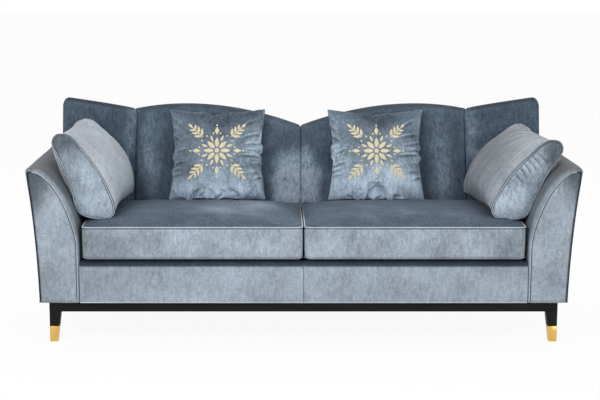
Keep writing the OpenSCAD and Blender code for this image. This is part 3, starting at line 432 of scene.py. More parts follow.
class Finish(Enum):
    """The finishes of this sofa."""

    # The velvets below are lit and shaded copies of the sofa's one velvet, one for each group of panels:
    # their face and top tones and their patches are painted light and shade.
    FRONT = Velvet("velvet_front", shade(144, 155, 166), shade(50, 63, 76), 0.22, 0.12, (0.12, 0.60), (
        PaintedShadePatch((-0.93, -0.41, 0.27), (0.24, 0.3, 0.30), -0.22),
        PaintedShadePatch((-0.35, -0.41, 0.34), (0.42, 0.3, 0.12), 0.06),
        PaintedShadePatch((0.92, -0.41, 0.34), (0.26, 0.3, 0.12), -0.12)))
    ARM_FRONT = Velvet(
        "velvet_arm_front", shade(144, 155, 165), shade(104, 118, 131), 0.24, 0.12, (0.25, 0.85), (
        # Painted shade over the upper corners.
        PaintedShadePatch((-1.10, -0.41, 0.74), (0.15, 0.3, 0.28), -0.76),
        PaintedShadePatch((1.09, -0.41, 0.74), (0.13, 0.3, 0.22), -0.66),
        PaintedShadePatch((-1.08, -0.41, 0.58), (0.08, 0.3, 0.10), -0.18),
        PaintedShadePatch((-1.02, -0.41, 0.22), (0.10, 0.3, 0.16), -0.14),
        PaintedShadePatch((1.02, -0.41, 0.22), (0.10, 0.3, 0.16), -0.10)))
    SEAT = Velvet("velvet_seat", shade(146, 157, 168), shade(79, 93, 107), 0.27, 0.12, (0.20, 0.75), (
        PaintedShadePatch((-0.86, -0.10, 0.48), (0.30, 0.3, 0.10), -0.22),
        PaintedShadePatch((-0.26, -0.12, 0.50), (0.32, 0.29, 0.10), 0.75),
        PaintedShadePatch((-0.03, -0.05, 0.49), (0.10, 0.34, 0.10), -0.42),
        PaintedShadePatch((0.86, -0.10, 0.48), (0.34, 0.3, 0.10), -0.42),
        PaintedShadePatch((0.36, -0.14, 0.50), (0.24, 0.28, 0.10), 0.25),
        # Painted shadow along the rear, where the back meets the seat.
        PaintedShadePatch((0.0, 0.20, 0.50), (3.0, 0.13, 0.20), -0.45),
        PaintedShadePatch((-0.88, -0.42, 0.42), (0.26, 0.12, 0.12), -0.33),
        PaintedShadePatch((0.88, -0.42, 0.42), (0.20, 0.12, 0.12), -0.30)))
    BACK = Velvet("velvet_back", shade(75, 89, 102), shade(50, 62, 73), 0.31, 0.05, (0.80, 1.0), (
        PaintedShadePatch((-0.025, 0.2, 0.56), (0.125, 0.5, 0.23), 0.95, 0.5),
        PaintedShadePatch((-0.675, 0.2, 0.66), (0.055, 0.5, 0.30), 0.45),
        PaintedShadePatch((-0.74, 0.2, 0.80), (0.04, 0.5, 0.20), -0.25),
        PaintedShadePatch((0.640, 0.2, 0.62), (0.075, 0.5, 0.32), 0.60),
        PaintedShadePatch((0.20, 0.2, 0.66), (0.08, 0.5, 0.3), -0.25),
        PaintedShadePatch((-0.56, 0.2, 0.66), (0.07, 0.5, 0.3), -0.22)))
    WING = Velvet("velvet_wing", shade(70, 84, 97), shade(38, 49, 59), 0.30, 0.05, (0.80, 1.0), (
        PaintedShadePatch((-0.78, 0.2, 0.70), (0.045, 0.5, 0.40), 0.50),
        PaintedShadePatch((0.79, 0.2, 0.80), (0.05, 0.5, 0.26), 0.60)))
    OUTSIDE = Velvet("velvet_outside", shade(110, 124, 137), shade(60, 73, 86), 0.20, 0.12)
    ARM = Velvet("velvet_arm", shade(120, 129, 138), shade(108, 110, 115), 0.20, 0.14)
    SCATTER = Velvet("velvet_scatter", shade(124, 139, 152), shade(92, 107, 121), 0.38, 0.16, (0.25, 0.85), (
        # Painted shade over the top, painted light over the lower part.
        PaintedShadePatch((-0.38, 0.05, 0.88), (0.30, 0.5, 0.15), -0.42),
        PaintedShadePatch((0.33, 0.05, 0.88), (0.30, 0.5, 0.15), -0.48),
        PaintedShadePatch((-0.53, 0.05, 0.70), (0.08, 0.5, 0.16), -0.38),
        PaintedShadePatch((-0.36, 0.05, 0.56), (0.30, 0.5, 0.12), 1.10),
        PaintedShadePatch((0.35, 0.05, 0.56), (0.30, 0.5, 0.12), 1.10),
        PaintedShadePatch((-0.20, 0.05, 0.72), (0.07, 0.5, 0.17), 0.55),
        PaintedShadePatch((0.16, 0.05, 0.70), (0.06, 0.5, 0.17), 0.70),
        PaintedShadePatch((0.43, 0.05, 0.70), (0.10, 0.5, 0.17), 0.22)))
    SIDE_END = Velvet(
        "velvet_side_end", shade(147, 160, 172), shade(120, 134, 148), 0.32, 0.18, (0.25, 0.85), (
        # Painted shade at the upper ends.
        PaintedShadePatch((-0.99, -0.3, 0.83), (0.22, 0.3, 0.14), -0.66),
        PaintedShadePatch((1.06, -0.3, 0.81), (0.14, 0.3, 0.11), -0.64),
        PaintedShadePatch((-0.90, -0.3, 0.54), (0.20, 0.3, 0.12), 0.16),
        PaintedShadePatch((0.86, -0.3, 0.55), (0.16, 0.3, 0.12), 0.26),
        PaintedShadePatch((-1.00, -0.3, 0.66), (0.05, 0.3, 0.14), 0.10)))
    SIDE_FACE = Velvet(
        "velvet_side_face", shade(168, 176, 184), shade(164, 170, 177), 0.20, 0.16, (0.25, 0.85), (
        PaintedShadePatch((0.84, 0.0, 0.66), (0.40, 0.7, 0.42), -0.42),
        PaintedShadePatch((0.80, 0.05, 0.52), (0.18, 0.5, 0.14), -0.22),
        PaintedShadePatch((-0.76, 0.05, 0.54), (0.12, 0.5, 0.10), -0.14),
        PaintedShadePatch((1.00, -0.05, 0.84), (0.10, 0.3, 0.05), 0.16),
        PaintedShadePatch((-0.86, 0.0, 0.68), (0.30, 0.7, 0.30), 0.09)))
    # Piping, welt and hem in a lighter copy of the velvet, a painted highlight; its patches paint shade at
    # the rear and in the gap between the seat cushions.
    PIPING = Velvet("velvet_piping", shade(172, 182, 192), shade(188, 196, 204), 0.12, 0.30, (0.25, 0.85), (
        PaintedShadePatch((0.0, 0.20, 0.485), (4.0, 0.34, 0.06), -0.80),
        PaintedShadePatch((0.0, 0.02, 0.485), (0.07, 0.40, 0.06), -0.75)))
    # Lighter copy for the side cushions' piping and the arms' welts, a painted highlight, with painted shade
    # near the side cushions' tops.
    SIDE_PIPING = Velvet(
        "velvet_side_piping", shade(170, 181, 191), shade(150, 162, 173), 0.12, 0.20, (0.25, 0.85), (
        PaintedShadePatch((-1.02, -0.3, 0.84), (0.20, 0.6, 0.12), -0.62),
        PaintedShadePatch((1.04, -0.3, 0.82), (0.22, 0.6, 0.12), -0.62)))
    # Dark velvet for the arms' outer piping, and for thin tubes laid in seams and grooves as painted shadow
    # lines.
    DARK_PIPING = Velvet("velvet_dark_piping_and_shadow", shade(40, 50, 62), shade(70, 84, 97), 0.10, 0.20)
    THREAD = Cloth("sewing_thread", shade(186, 196, 206), 1400.0, 0.0002, 0.7)
    GOLD = SatinStitch("gold_satin_stitch", shade(238, 229, 194), shade(164, 147, 106))
    WOOD_ACROSS = OpenGrainWood("dark_wood_across", shade(7, 6, 6), shade(21, 18, 18), (0.07, 1.0, 1.0))
    WOOD_DEEP = OpenGrainWood("dark_wood_deep", shade(7, 6, 6), shade(21, 18, 18), (1.0, 0.07, 1.0))
    WOOD_UPRIGHT = OpenGrainWood("dark_wood_upright", shade(7, 6, 6), shade(20, 17, 16), (1.0, 1.0, 0.07))
    RAW_WOOD = OpenGrainWood(
        "frame_wood", shade(150, 116, 78), shade(196, 164, 120), (0.1, 1.0, 1.0), 0.7, 0.0)
    BRASS = Metal("polished_brass", shade(222, 180, 100), 0.24)
    STEEL = Metal("spring_steel", shade(150, 151, 155), 0.38)
    FOAM = Cloth("cut_foam", shade(226, 216, 176), 300.0, 0.0012, slot="foam")
    BLACK_CLOTH = Cloth("black_lining", shade(26, 26, 29), slot="black_cloth")
    GLIDE = Cloth("glide_plastic", shade(34, 34, 36), 300.0, 0.0002, 0.5)

    def material(self) -> bpy.types.Material:
        """Gives the finish's material, made once."""
        return bpy.data.materials.get(self.value.name) or self.value.make()


# Mesh tools


def hand(side: int) -> str:
    """Names a side: left for -1, right for 1."""
    return "left" if side < 0 else "right"


def ramp(value: Array | float, start: float, width: float) -> Array:
    """Rises from 0 at a value to 1 a width further on; a negative width falls instead."""
    return np.clip((value - start) / width, 0, 1)


def face_outwards(piece: Piece) -> None:
    """Turns a closed piece's faces outwards.

    Args:
        piece: The object.
    """
    bm = bmesh.new()
    bm.from_mesh(piece.data)
    bmesh.ops.recalc_face_normals(bm, faces=bm.faces)
    if bm.calc_volume(signed=True) < 0:
        bmesh.ops.reverse_faces(bm, faces=bm.faces)
    bm.to_mesh(piece.data)
    bm.free()
    piece.data.update()


def mesh_piece(name: str, points: Array, faces: Sequence[Sequence[int]]) -> Piece:
    """Makes a closed, smoothly shaded mesh with its faces turned outwards.

    Args:
        name: Name of the piece.
        points: Its points.
        faces: Its faces, as indices.

    Returns:
        The object.
    """
    mesh = bpy.data.meshes.new(name)
    mesh.from_pydata([tuple(p) for p in points], [], [tuple(f) for f in faces])
    for face in mesh.polygons:
        face.use_smooth = True
    made = bpy.data.objects.new(name, mesh)
    face_outwards(made)
    bpy.context.scene.collection.objects.link(made)
    return made


def ring_piece(name: str, rings: Sequence[Array]) -> Piece:
    """Makes a solid through closed rings of equally many points.

    Args:
        name: Name of the piece.
        rings: The rings, from one end to the other.

    Returns:
        The object.
    """
    count, last = len(rings[0]), len(rings) - 1
    faces: list[Sequence[int]] = [
        (i * count + j, i * count + (j + 1) % count, (i + 1) * count + (j + 1) % count, (i + 1) * count + j)
        for i in range(last) for j in range(count)]
    faces.append(list(range(count))[::-1])
    faces.append([last * count + j for j in range(count)])
    return mesh_piece(name, np.concatenate(rings), faces)


def skins(name: str, outer: Array, inner: Array) -> Piece:
    """Closes two grids of points, one behind the other, into a shell.

    Args:
        name: Name of the piece.
        outer: Rows of points of the outer skin.
        inner: As many rows of the inner skin.

    Returns:
        The object.
    """
    rows, columns = outer.shape[:2]
    size = rows * columns
    faces: list[Sequence[int]] = []
    for i in range(rows - 1):
        for j in range(columns - 1):
            a = i * columns + j
            b, c, d = a + 1, a + columns + 1, a + columns
            faces += [(a, b, c, d), (size + a, size + d, size + c, size + b)]
    rim = list(range(columns)) + [i * columns + columns - 1 for i in range(1, rows)]
    rim += [(rows - 1) * columns + j for j in range(columns - 2, -1, -1)]
    rim += [i * columns for i in range(rows - 2, 0, -1)]
    faces += [(a, size + a, size + b, b) for a, b in zip(rim, rim[1:] + rim[:1])]
    return mesh_piece(name, np.concatenate([outer.reshape(-1, 3), inner.reshape(-1, 3)]), faces)


def read_vectors(items: bpy.types.bpy_prop_collection, name: str) -> Array:
    """Reads a vector property of a mesh's items.

    Args:
        items: The items.
        name: Name of the property.

    Returns:
        One row for each item.
    """
    flat = np.zeros(len(items) * 3)
    items.foreach_get(name, flat)
    return flat.reshape(-1, 3)


def get_points(piece: Piece) -> Array:
    """Gives a mesh's points."""
    return read_vectors(piece.data.vertices, "co")


def set_points(piece: Piece, points: Array) -> None:
    """Moves a mesh's points."""
    piece.data.vertices.foreach_set("co", points.ravel())
    piece.data.update()


def get_normals(piece: Piece) -> Array:
    """Gives the directions of a mesh's points."""
    return read_vectors(piece.data.vertex_normals, "vector")


def ripple(points: Array, scale: Sequence[float], seed: float) -> Array:
    """Gives smooth noise from -1 to 1 at points."""
    return np.array([noise.noise(Vector(place)) for place in points * scale + seed * np.array([1, -1, 0.7])])


def store_painted_shade(piece: Piece, values: Array) -> None:
    """Stores painted light and shade at each point, from -1, dark as in a crease, to 1, light as on a ridge,
    for the velvet to read.
    """
    layer = piece.data.attributes.new("fold", "FLOAT", "POINT")
    layer.data.foreach_set("value", np.asarray(values, dtype=np.float32))


def undulate(piece: Piece, height: float, scale: Sequence[float], seed: float,
             where: Callable[[Array], Array] | None = None) -> None:
    """Moves a piece's surface in and out by smooth noise.

    Args:
        piece: The object.
        height: Height of the waves in metres.
        scale: Waves for each metre, by axis.
        seed: Shift of the noise.
        where: Strength from 0 to 1 at each point.
    """
    points = get_points(piece)
    amount = height * ripple(points, scale, seed)
    if where is not None:
        amount = amount * where(points)
    set_points(piece, points + get_normals(piece) * amount[:, None])


def only(piece: Piece) -> Piece:
    """Selects one object alone and makes it active.

    Args:
        piece: The object.

    Returns:
        The same object.
    """
    bpy.ops.object.select_all(action="DESELECT")
    piece.select_set(True)
    bpy.context.view_layer.objects.active = piece
    return piece


def subdivide(piece: Piece, levels: int = 1) -> None:
    """Adds and applies a Subdivision Surface.

    Args:
        piece: The object.
        levels: Number of levels.
    """
    only(piece)
    bpy.ops.object.modifier_add(type="SUBSURF")
    modifier = piece.modifiers[-1]
    modifier.levels = modifier.render_levels = levels
    bpy.ops.object.modifier_apply(modifier=modifier.name)


def dress(piece: Piece, finish: Finish, *nodes: str, body: str = "root", fill: float | None = None) -> Piece:
    """Gives a piece its finish, its body and the CAD nodes that it stands for.

    Args:
        piece: The object.
        finish: Its finish.
        nodes: CAD nodes that it replaces.
        body: Body that it moves with.
        fill: How tightly a padded piece is filled, from 0 to 1; not used.

    Returns:
        The object.
    """
    piece.data.materials.clear()
    piece.data.materials.append(finish.material())
    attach(piece, body)
    if nodes:
        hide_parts(*nodes)
    LOG.info("%s: %d faces on %s", piece.name, len(piece.data.polygons), body)
    return piece


def resample(path: Array, count: int, closed: bool = False) -> Array:
    """Spreads points evenly along a path.

    Args:
        path: The path.
        count: Number of points wanted.
        closed: Whether the last point joins the first.

    Returns:
        The points.
    """
    line = np.vstack([path, path[:1]]) if closed else path
    run = np.concatenate([[0.0], np.cumsum(np.linalg.norm(np.diff(line, axis=0), axis=1))])
    steps = np.linspace(0, run[-1], count + 1)[:-1] if closed else np.linspace(0, run[-1], count)
    return np.stack([np.interp(steps, run, line[:, k]) for k in range(line.shape[1])], axis=1)


def smooth_loop(control: Array, count: int) -> Array:
    """Draws a smooth closed curve through points.

    Args:
        control: Points that the curve passes through.
        count: Number of points wanted.

    Returns:
        The curve, evenly spaced.
    """
    n, fine = len(control), []
    for i in range(n):
        p0, p1, p2, p3 = (control[(i + k) % n] for k in (-1, 0, 1, 2))
        for t in np.linspace(0, 1, 12, endpoint=False):
            fine.append(0.5 * (2 * p1 + (p2 - p0) * t + (2 * p0 - 5 * p1 + 4 * p2 - p3) * t * t
                               + (3 * p1 - p0 - 3 * p2 + p3) * t ** 3))
    return resample(np.array(fine), count, True)


def inward(ring: Array) -> Array:
    """Finds the inward side of a flat closed ring.

    Args:
        ring: Its points.

    Returns:
        The inward direction at each point.
    """
    along = np.roll(ring, -1, axis=0) - np.roll(ring, 1, axis=0)
    along /= np.maximum(np.linalg.norm(along, axis=1, keepdims=True), 1e-9)
    side = np.stack([-along[:, 1], along[:, 0]], axis=1)
    turn = np.sum(ring[:, 0] * np.roll(ring[:, 1], -1) - np.roll(ring[:, 0], -1) * ring[:, 1])
    return side if turn > 0 else -side


def tube(name: str, path: Array, radius: float, closed: bool = False, sides: int = 8) -> Piece:
    """Makes piping: a curve with a round bevel, turned into a mesh.

    Args:
        name: Name of the piece.
        path: Points of its middle line.
        radius: Radius in metres.
        closed: Whether it is a loop.
        sides: Faces round it.

    Returns:
        The object.
    """
    bpy.ops.object.select_all(action="DESELECT")
    bpy.ops.curve.primitive_nurbs_path_add(radius=1.0)
    curve = bpy.context.active_object
    curve.location = (0, 0, 0)
    curve.name = name
    data = curve.data
    data.splines.clear()
    spline = data.splines.new("POLY")
    spline.points.add(len(path) - 1)
    spline.points.foreach_set("co", np.hstack([path, np.ones((len(path), 1))]).ravel())
    spline.use_cyclic_u = closed
    data.dimensions = "3D"
    data.bevel_depth = radius
    data.bevel_resolution = (sides - 4) // 2
    data.use_fill_caps = not closed
    bpy.ops.object.convert(target="MESH")
    made = bpy.context.active_object
    made.name = made.data.name = name
    bpy.ops.object.shade_smooth()
    return made


def join(name: str, parts: Sequence[Piece]) -> Piece:
    """Joins meshes into one.

    Args:
        name: Name of the whole.
        parts: The meshes.

    Returns:
        The object.
    """
    bpy.ops.object.select_all(action="DESELECT")
    for part in parts:
        part.select_set(True)
    bpy.context.view_layer.objects.active = parts[0]
    bpy.ops.object.join()
    made = bpy.context.active_object
    made.name = made.data.name = name
    return made


def stitches(name: str, path: Array, outwards: Array, pitch: float = 0.006,
             length: float = 0.0042, radius: float = 0.00055) -> Piece:
    """Makes a row of short thread stitches along a path.

    Args:
        name: Name of the piece.
        path: Points of the seam.
        outwards: Direction of the surface at each point.
        pitch: Distance from stitch to stitch.
        length: Length of a stitch.
        radius: Radius of the thread.

    Returns:
        The object.
    """
    run = float(np.sum(np.linalg.norm(np.diff(path, axis=0), axis=1)))
    count = max(2, int(run / pitch))
    both = resample(np.hstack([path, outwards]), count)
    spots, ups = both[:, :3], both[:, 3:]
    along = np.gradient(spots, axis=0)
    along /= np.linalg.norm(along, axis=1, keepdims=True)
    points, faces = [], []
    shares = ((-0.5, 0.25), (-0.25, 1.0), (0.25, 1.0), (0.5, 0.25))
    for spot, up, way in zip(spots, ups, along):
        across = np.cross(way, up)
        across /= max(np.linalg.norm(across), 1e-9)
        up = np.cross(across, way)
        start = len(points)
        for share, wide in shares:
            centre = spot + way * (share * length)
            for k in range(5):
                angle = 2 * math.pi * k / 5
                points.append(centre + wide * radius * (math.cos(angle) * across + math.sin(angle) * up))
        for i in range(len(shares) - 1):
            for k in range(5):
                a, b = start + i * 5 + k, start + i * 5 + (k + 1) % 5
                faces.append((a, b, b + 5, a + 5))
        faces.append([start + k for k in range(5)][::-1])
        faces.append([start + 15 + k for k in range(5)])
    return mesh_piece(name, np.array(points), faces)


# Frame sizes


@dataclass(frozen=True)
class Sizes:
    """Sizes that the pieces share with the frame, in metres."""

    half_w: float = 1.130
    seat_half: float = 0.920
    base: float = 0.170
    front: float = -0.413
    border: float = -0.409
    deck: float = 0.339
    inside: float = 0.192
    seam: float = 0.748
    toe: float = math.radians(10)
    wing: float = 0.325
    rear_rake: float = math.radians(3)
    rake: float = math.radians(12.5)
    seam_rake: float = math.radians(3)
    lean_start: float = 0.488
    lean_soft: float = 0.018
    hump: float = 0.912
    top_round: float = 0.036

    def rear_v(self, z: Array | float) -> Array | float:
        """Gives the depth of the outside back behind the seat's rear line at a height."""
        return -self.front - self.inside - (self.hump - self.top_round - z) * math.tan(self.rear_rake)

    def lean_v(self, z: Array | float) -> Array | float:
        """Gives the depth of the leaning inside back at a height, with a soft start."""
        over = (np.asarray(z) - self.lean_start) / self.lean_soft
        return self.lean_soft * np.logaddexp(0, over) * math.tan(self.rake)

    def seam_shift(self, section: Array) -> Array:
        """Gives how far the leaning wing seam has come inward at the points of a section.

        Args:
            section: Points in depth and height.

        Returns:
            The distances: all of the lean at the front, none at the outside back.
        """
        depth, z = section[:, 0], section[:, 1]
        rise = np.clip(z - self.lean_start, 0, None)
        rear = self.rear_v(z) - 0.0025
        room = rear - rise * math.tan(self.rake)
        return rise * math.tan(self.seam_rake) * np.clip(rear - depth, 0, None) / room

    def mitre(self, share: Array | float) -> Array | float:
        """Gives how far a wing's panel narrows with depth, from half the toe at its seam to all of it."""
        half, full = math.tan(self.toe / 2), math.tan(self.toe)
        return half + (full - half) * share

    def wing_point(self, u: Array, v: Array, z: Array) -> Array:
        """Turns a wing's own coordinates into the frame's."""
        c, s = math.cos(self.toe), math.sin(self.toe)
        return np.stack([self.seam + u * c + v * s, self.inside - u * s + v * c, z + 0 * u], axis=-1)

    def wing_rear_y(self, x: Array, z: Array, less: float) -> Array:
        """Gives where the outside back runs behind an arm.

        Args:
            x: Distance from the middle.
            z: Height.
            less: Distance in front of it.

        Returns:
            The y coordinate.
        """
        c, s = math.cos(self.toe), math.sin(self.toe)
        v = self.rear_v(z) - less
        u = (x - self.seam - v * s) / c
        return self.inside - u * s + v * c


SIZES = Sizes()


# Arms


@dataclass
class Arm:
    """One flared arm: its stuffed body, front panel, piping and stitching."""

    side: int
    top: float = 0.730
    foot_in: float = 0.043
    corner: float = 0.016
    roll: float = 0.018
    low_roll: float = 0.008
    roll_deep: float = 0.016
    outer_roll: float = 0.0055
    rear_gap: float = 0.0112
    pipe: float = 0.0028
    welt: float = 0.0019
    # groove: radius of the dark tube that paints the shadow line in the roll's seam.
    groove: float = 0.0012

    def __post_init__(self) -> None:
        """Works out the outline once."""
        self.name = hand(self.side)
        self.outline = self._outline(170)

    def _outline(self, count: int) -> Array:
        """Draws the arm's outline from its outer foot over the top to its inner foot.

        Args:
            count: Number of points.

        Returns:
            The points in x and z.
        """
        z, rise, wide = SIZES, self.top - SIZES.base, SIZES.half_w - SIZES.seat_half
        foot = z.half_w - self.foot_in
        a = np.array([[foot, z.base], [foot + 0.167 * self.foot_in, z.base + 0.568 * rise],
                      [z.half_w, self.top - self.corner]])
        b = np.array([[z.seat_half + across * wide, z.base + up * rise]
                      for across, up in ((0.79, 1.0), (0.42, 0.961), (0.005, 0.692), (0.0, 0.424))])
        t = np.linspace(0, 1, 40)[:, None]
        outer = (1 - t) ** 2 * a[0] + 2 * t * (1 - t) * a[1] + t * t * a[2]
        inner = (1 - t) ** 3 * b[0] + 3 * t * (1 - t) ** 2 * b[1] + 3 * t * t * (1 - t) * b[2] + t ** 3 * b[3]
        turn = np.radians(np.linspace(6, 90, 12))[:, None]
        centre = np.array([z.half_w - self.corner, self.top - self.corner])
        bend = centre + self.corner * np.hstack([np.cos(turn), np.sin(turn)])
        return resample(np.vstack([outer, bend, inner, [[z.seat_half, z.base]]]), count)

    def inner_x(self, z: Array) -> Array:
        """Gives how far from the middle the arm's inner side stands at a height."""
        inner = self.outline[int(np.argmax(self.outline[:, 1])) + 1:][::-1]
        return np.interp(z, inner[:, 1], inner[:, 0])

    def _roll_widths(self, path: Array) -> Array:
        """Gives the rolled edge's width: slim outside, full over the top and slimmer low inside.

        Args:
            path: The outline in x and z.

        Returns:
            The width at each point.
        """
        x, z = path[:, 0], path[:, 1]
        over = ramp(x, SIZES.half_w - 0.020, 0.030)
        outer_side = np.maximum(over, (x > SIZES.half_w - self.foot_in - 0.002) & (z < self.top - 0.03))
        full = self.low_roll + (self.roll - self.low_roll) * ramp(z, 0.42, 0.12)
        width = full + (self.outer_roll - full) * outer_side
        kernel = np.ones(7) / 7
        return np.convolve(np.pad(width, 3, mode="edge"), kernel, mode="valid")

    def _closed(self) -> tuple[Array, Array, Array]:
        """Closes the outline along the underside.

        Returns:
            The ring, the inward directions and the roll's width at each point.
        """
        base = np.linspace(self.outline[-1], self.outline[0], 14)[1:-1]
        ring = np.vstack([self.outline, base])
        under = np.linspace(self.roll, self.outer_roll, len(base)) * 0.3
        return ring, inward(ring), np.concatenate([self._roll_widths(self.outline), under])

    def _points(self, ring: Array, y: Array | float) -> Array:
        """Places a ring of x and z at a depth, on this arm's side."""
        return np.stack([self.side * ring[:, 0], np.broadcast_to(y, len(ring)), ring[:, 1]], axis=1)

    def body(self) -> Piece:
        """Builds the stuffed arm with its rolled front edge.

        Returns:
            The piece.
        """
        ring, into, widths = self._closed()
        rings = [self._points(ring + into * (widths + more)[:, None], SIZES.border + deep)
                 for more, deep in ((0.003, 0.010), (0.0018, 0.0035))]
        for angle in np.radians([82, 68, 52, 38, 24, 11, 0]):
            inset = widths * (1 - math.cos(angle))
            rings.append(self._points(ring + into * inset[:, None],
                                      SIZES.border + self.roll_deep * (1 - math.sin(angle))))
        start = SIZES.border + self.roll_deep
        stop = SIZES.wing_rear_y(ring[:, 0], ring[:, 1], self.rear_gap)
        for share in np.linspace(0, 1, 78)[1:]:
            rings.append(self._points(ring, start + (stop - start) * share))
        for angle in np.radians([35, 65, 88]):
            drawn = ring + into * (0.007 * (1 - math.cos(angle)))
            rings.append(self._points(drawn, stop + 0.009 * math.sin(angle)))
        piece = ring_piece(f"arm_upholstery_{self.name}", rings)
        undulate(piece, 0.0022, (5.0, 4.2, 5.0), 3.1 + self.side,
                 lambda p: ramp(p[:, 1], -0.39, 0.03) * ramp(p[:, 1], 0.27, -0.04))
        undulate(piece, 0.0009, (22.0, 9.0, 22.0), 9.7 + self.side,
                 lambda p: ramp(p[:, 1], -0.40, 0.02) * ramp(p[:, 1], 0.27, -0.04))
        points = get_points(piece)
        x, y, z = np.abs(points[:, 0]), points[:, 1], points[:, 2]
        # Painted shade on the inner side behind the roll, stronger low down, and a painted highlight along
        # the rolled front edge, stored for the velvet.
        wall = np.clip(1 - (x - self.inner_x(z)) / 0.02, 0, 1) * ramp(y, start, 0.02)
        roll_highlight = np.clip(1 - (y - SIZES.border) / (self.roll_deep + 0.004), 0, 1) ** 0.5
        store_painted_shade(piece, 0.34 * roll_highlight * (x < SIZES.half_w - 0.03) - 0.46 * wall * ramp(z, 0.80, -0.16))
        return piece

    def _seam(self, extra: float, depth: float) -> Array:
        """Gives the line of the front seam.

        Args:
            extra: Distance inside the roll.
            depth: The line's y coordinate.

        Returns:
            The points from the outer foot to the inner foot.
        """
        ring, into, widths = self._closed()
        count = len(self.outline)
        line = (ring + into * (widths + extra)[:, None])[:count]
        line[:, 1] = np.maximum(line[:, 1], SIZES.base + 0.001)
        return self._points(line, depth)

    def panel(self) -> Piece:
        """Builds the crowned front panel inside the piping.

        Returns:
            The piece.
        """
        line = self._seam(0.0012, 0.0)[:, [0, 2]]
        line[:, 0] *= self.side
        peak = int(np.argmax(line[:, 1]))
        outer, inner = line[:peak + 1], line[peak:][::-1]
        top, rows, columns = line[peak, 1], 96, 22
        rise = np.sin(np.linspace(0, math.pi / 2, rows)) ** 0.8
        heights = SIZES.base + 0.001 + (top - SIZES.base - 0.0022) * rise
        left = np.interp(heights, outer[:, 1], outer[:, 0])[:, None]
        right = np.interp(heights, inner[:, 1], inner[:, 0])[:, None]
        x = left + (right - left) * np.linspace(0, 1, columns)[None, :]
        z = np.repeat(heights[:, None], columns, axis=1)
        near = np.minimum.reduce([x - np.minimum(left, right), np.maximum(left, right) - x, top - z])
        crown = 1 - np.exp(-np.clip(near, 0, None) / 0.007)
        front = np.stack([self.side * x, SIZES.border + 0.0045 - 0.0062 * crown, z], axis=2)
        back = front.copy()
        back[:, :, 1] = SIZES.border + 0.0075
        piece = skins(f"arm_front_panel_pad_{self.name}", front, back)
        undulate(piece, 0.0011, (13.0, 1.0, 7.0), 5.5 + self.side,
                 lambda p: ramp(p[:, 1], SIZES.border + 0.002, -0.003))
        return piece

    def build(self) -> None:
        """Builds and dresses the arm."""
        dress(self.body(), Finish.ARM, f"arm_cover_{self.name}", f"arm_padding_{self.name}", fill=0.9)
        dress(self.panel(), Finish.ARM_FRONT, f"arm_front_panel_{self.name}", fill=0.9)
        line = self._seam(-0.0004, SIZES.border - 0.0004)
        past = (np.abs(line[:, 0]) < SIZES.half_w - 0.030) & (line[:, 2] > self.top - 0.08)
        turn = int(np.argmax(past))
        pipe = tube(f"arm_front_piping_{self.name}", line[:turn], self.pipe)
        dress(pipe, Finish.DARK_PIPING, f"arm_piping_{self.name}")
        welt = tube(f"arm_front_welt_{self.name}", line[turn - 1:] + [0, 0.0010, 0], self.welt)
        dress(welt, Finish.SIDE_PIPING)
        # A thin dark tube in the roll's seam, a painted shadow line.
        line = self._seam(0.0026, SIZES.border + 0.0004)[turn:]
        dress(tube(f"arm_front_groove_{self.name}", line, self.groove, sides=6), Finish.DARK_PIPING)
        rows = []
        for k, (away, ahead) in enumerate(((-0.0045, 0.0024), (0.0056, 0.0006))):
            row = self._seam(away, SIZES.border + ahead)[turn:-1]
            rows.append(stitches(f"arm_row_{k}", row, np.tile([0.0, -1.0, 0.15], (len(row), 1))))
        dress(join(f"arm_roll_stitching_{self.name}", rows), Finish.THREAD)


# Back


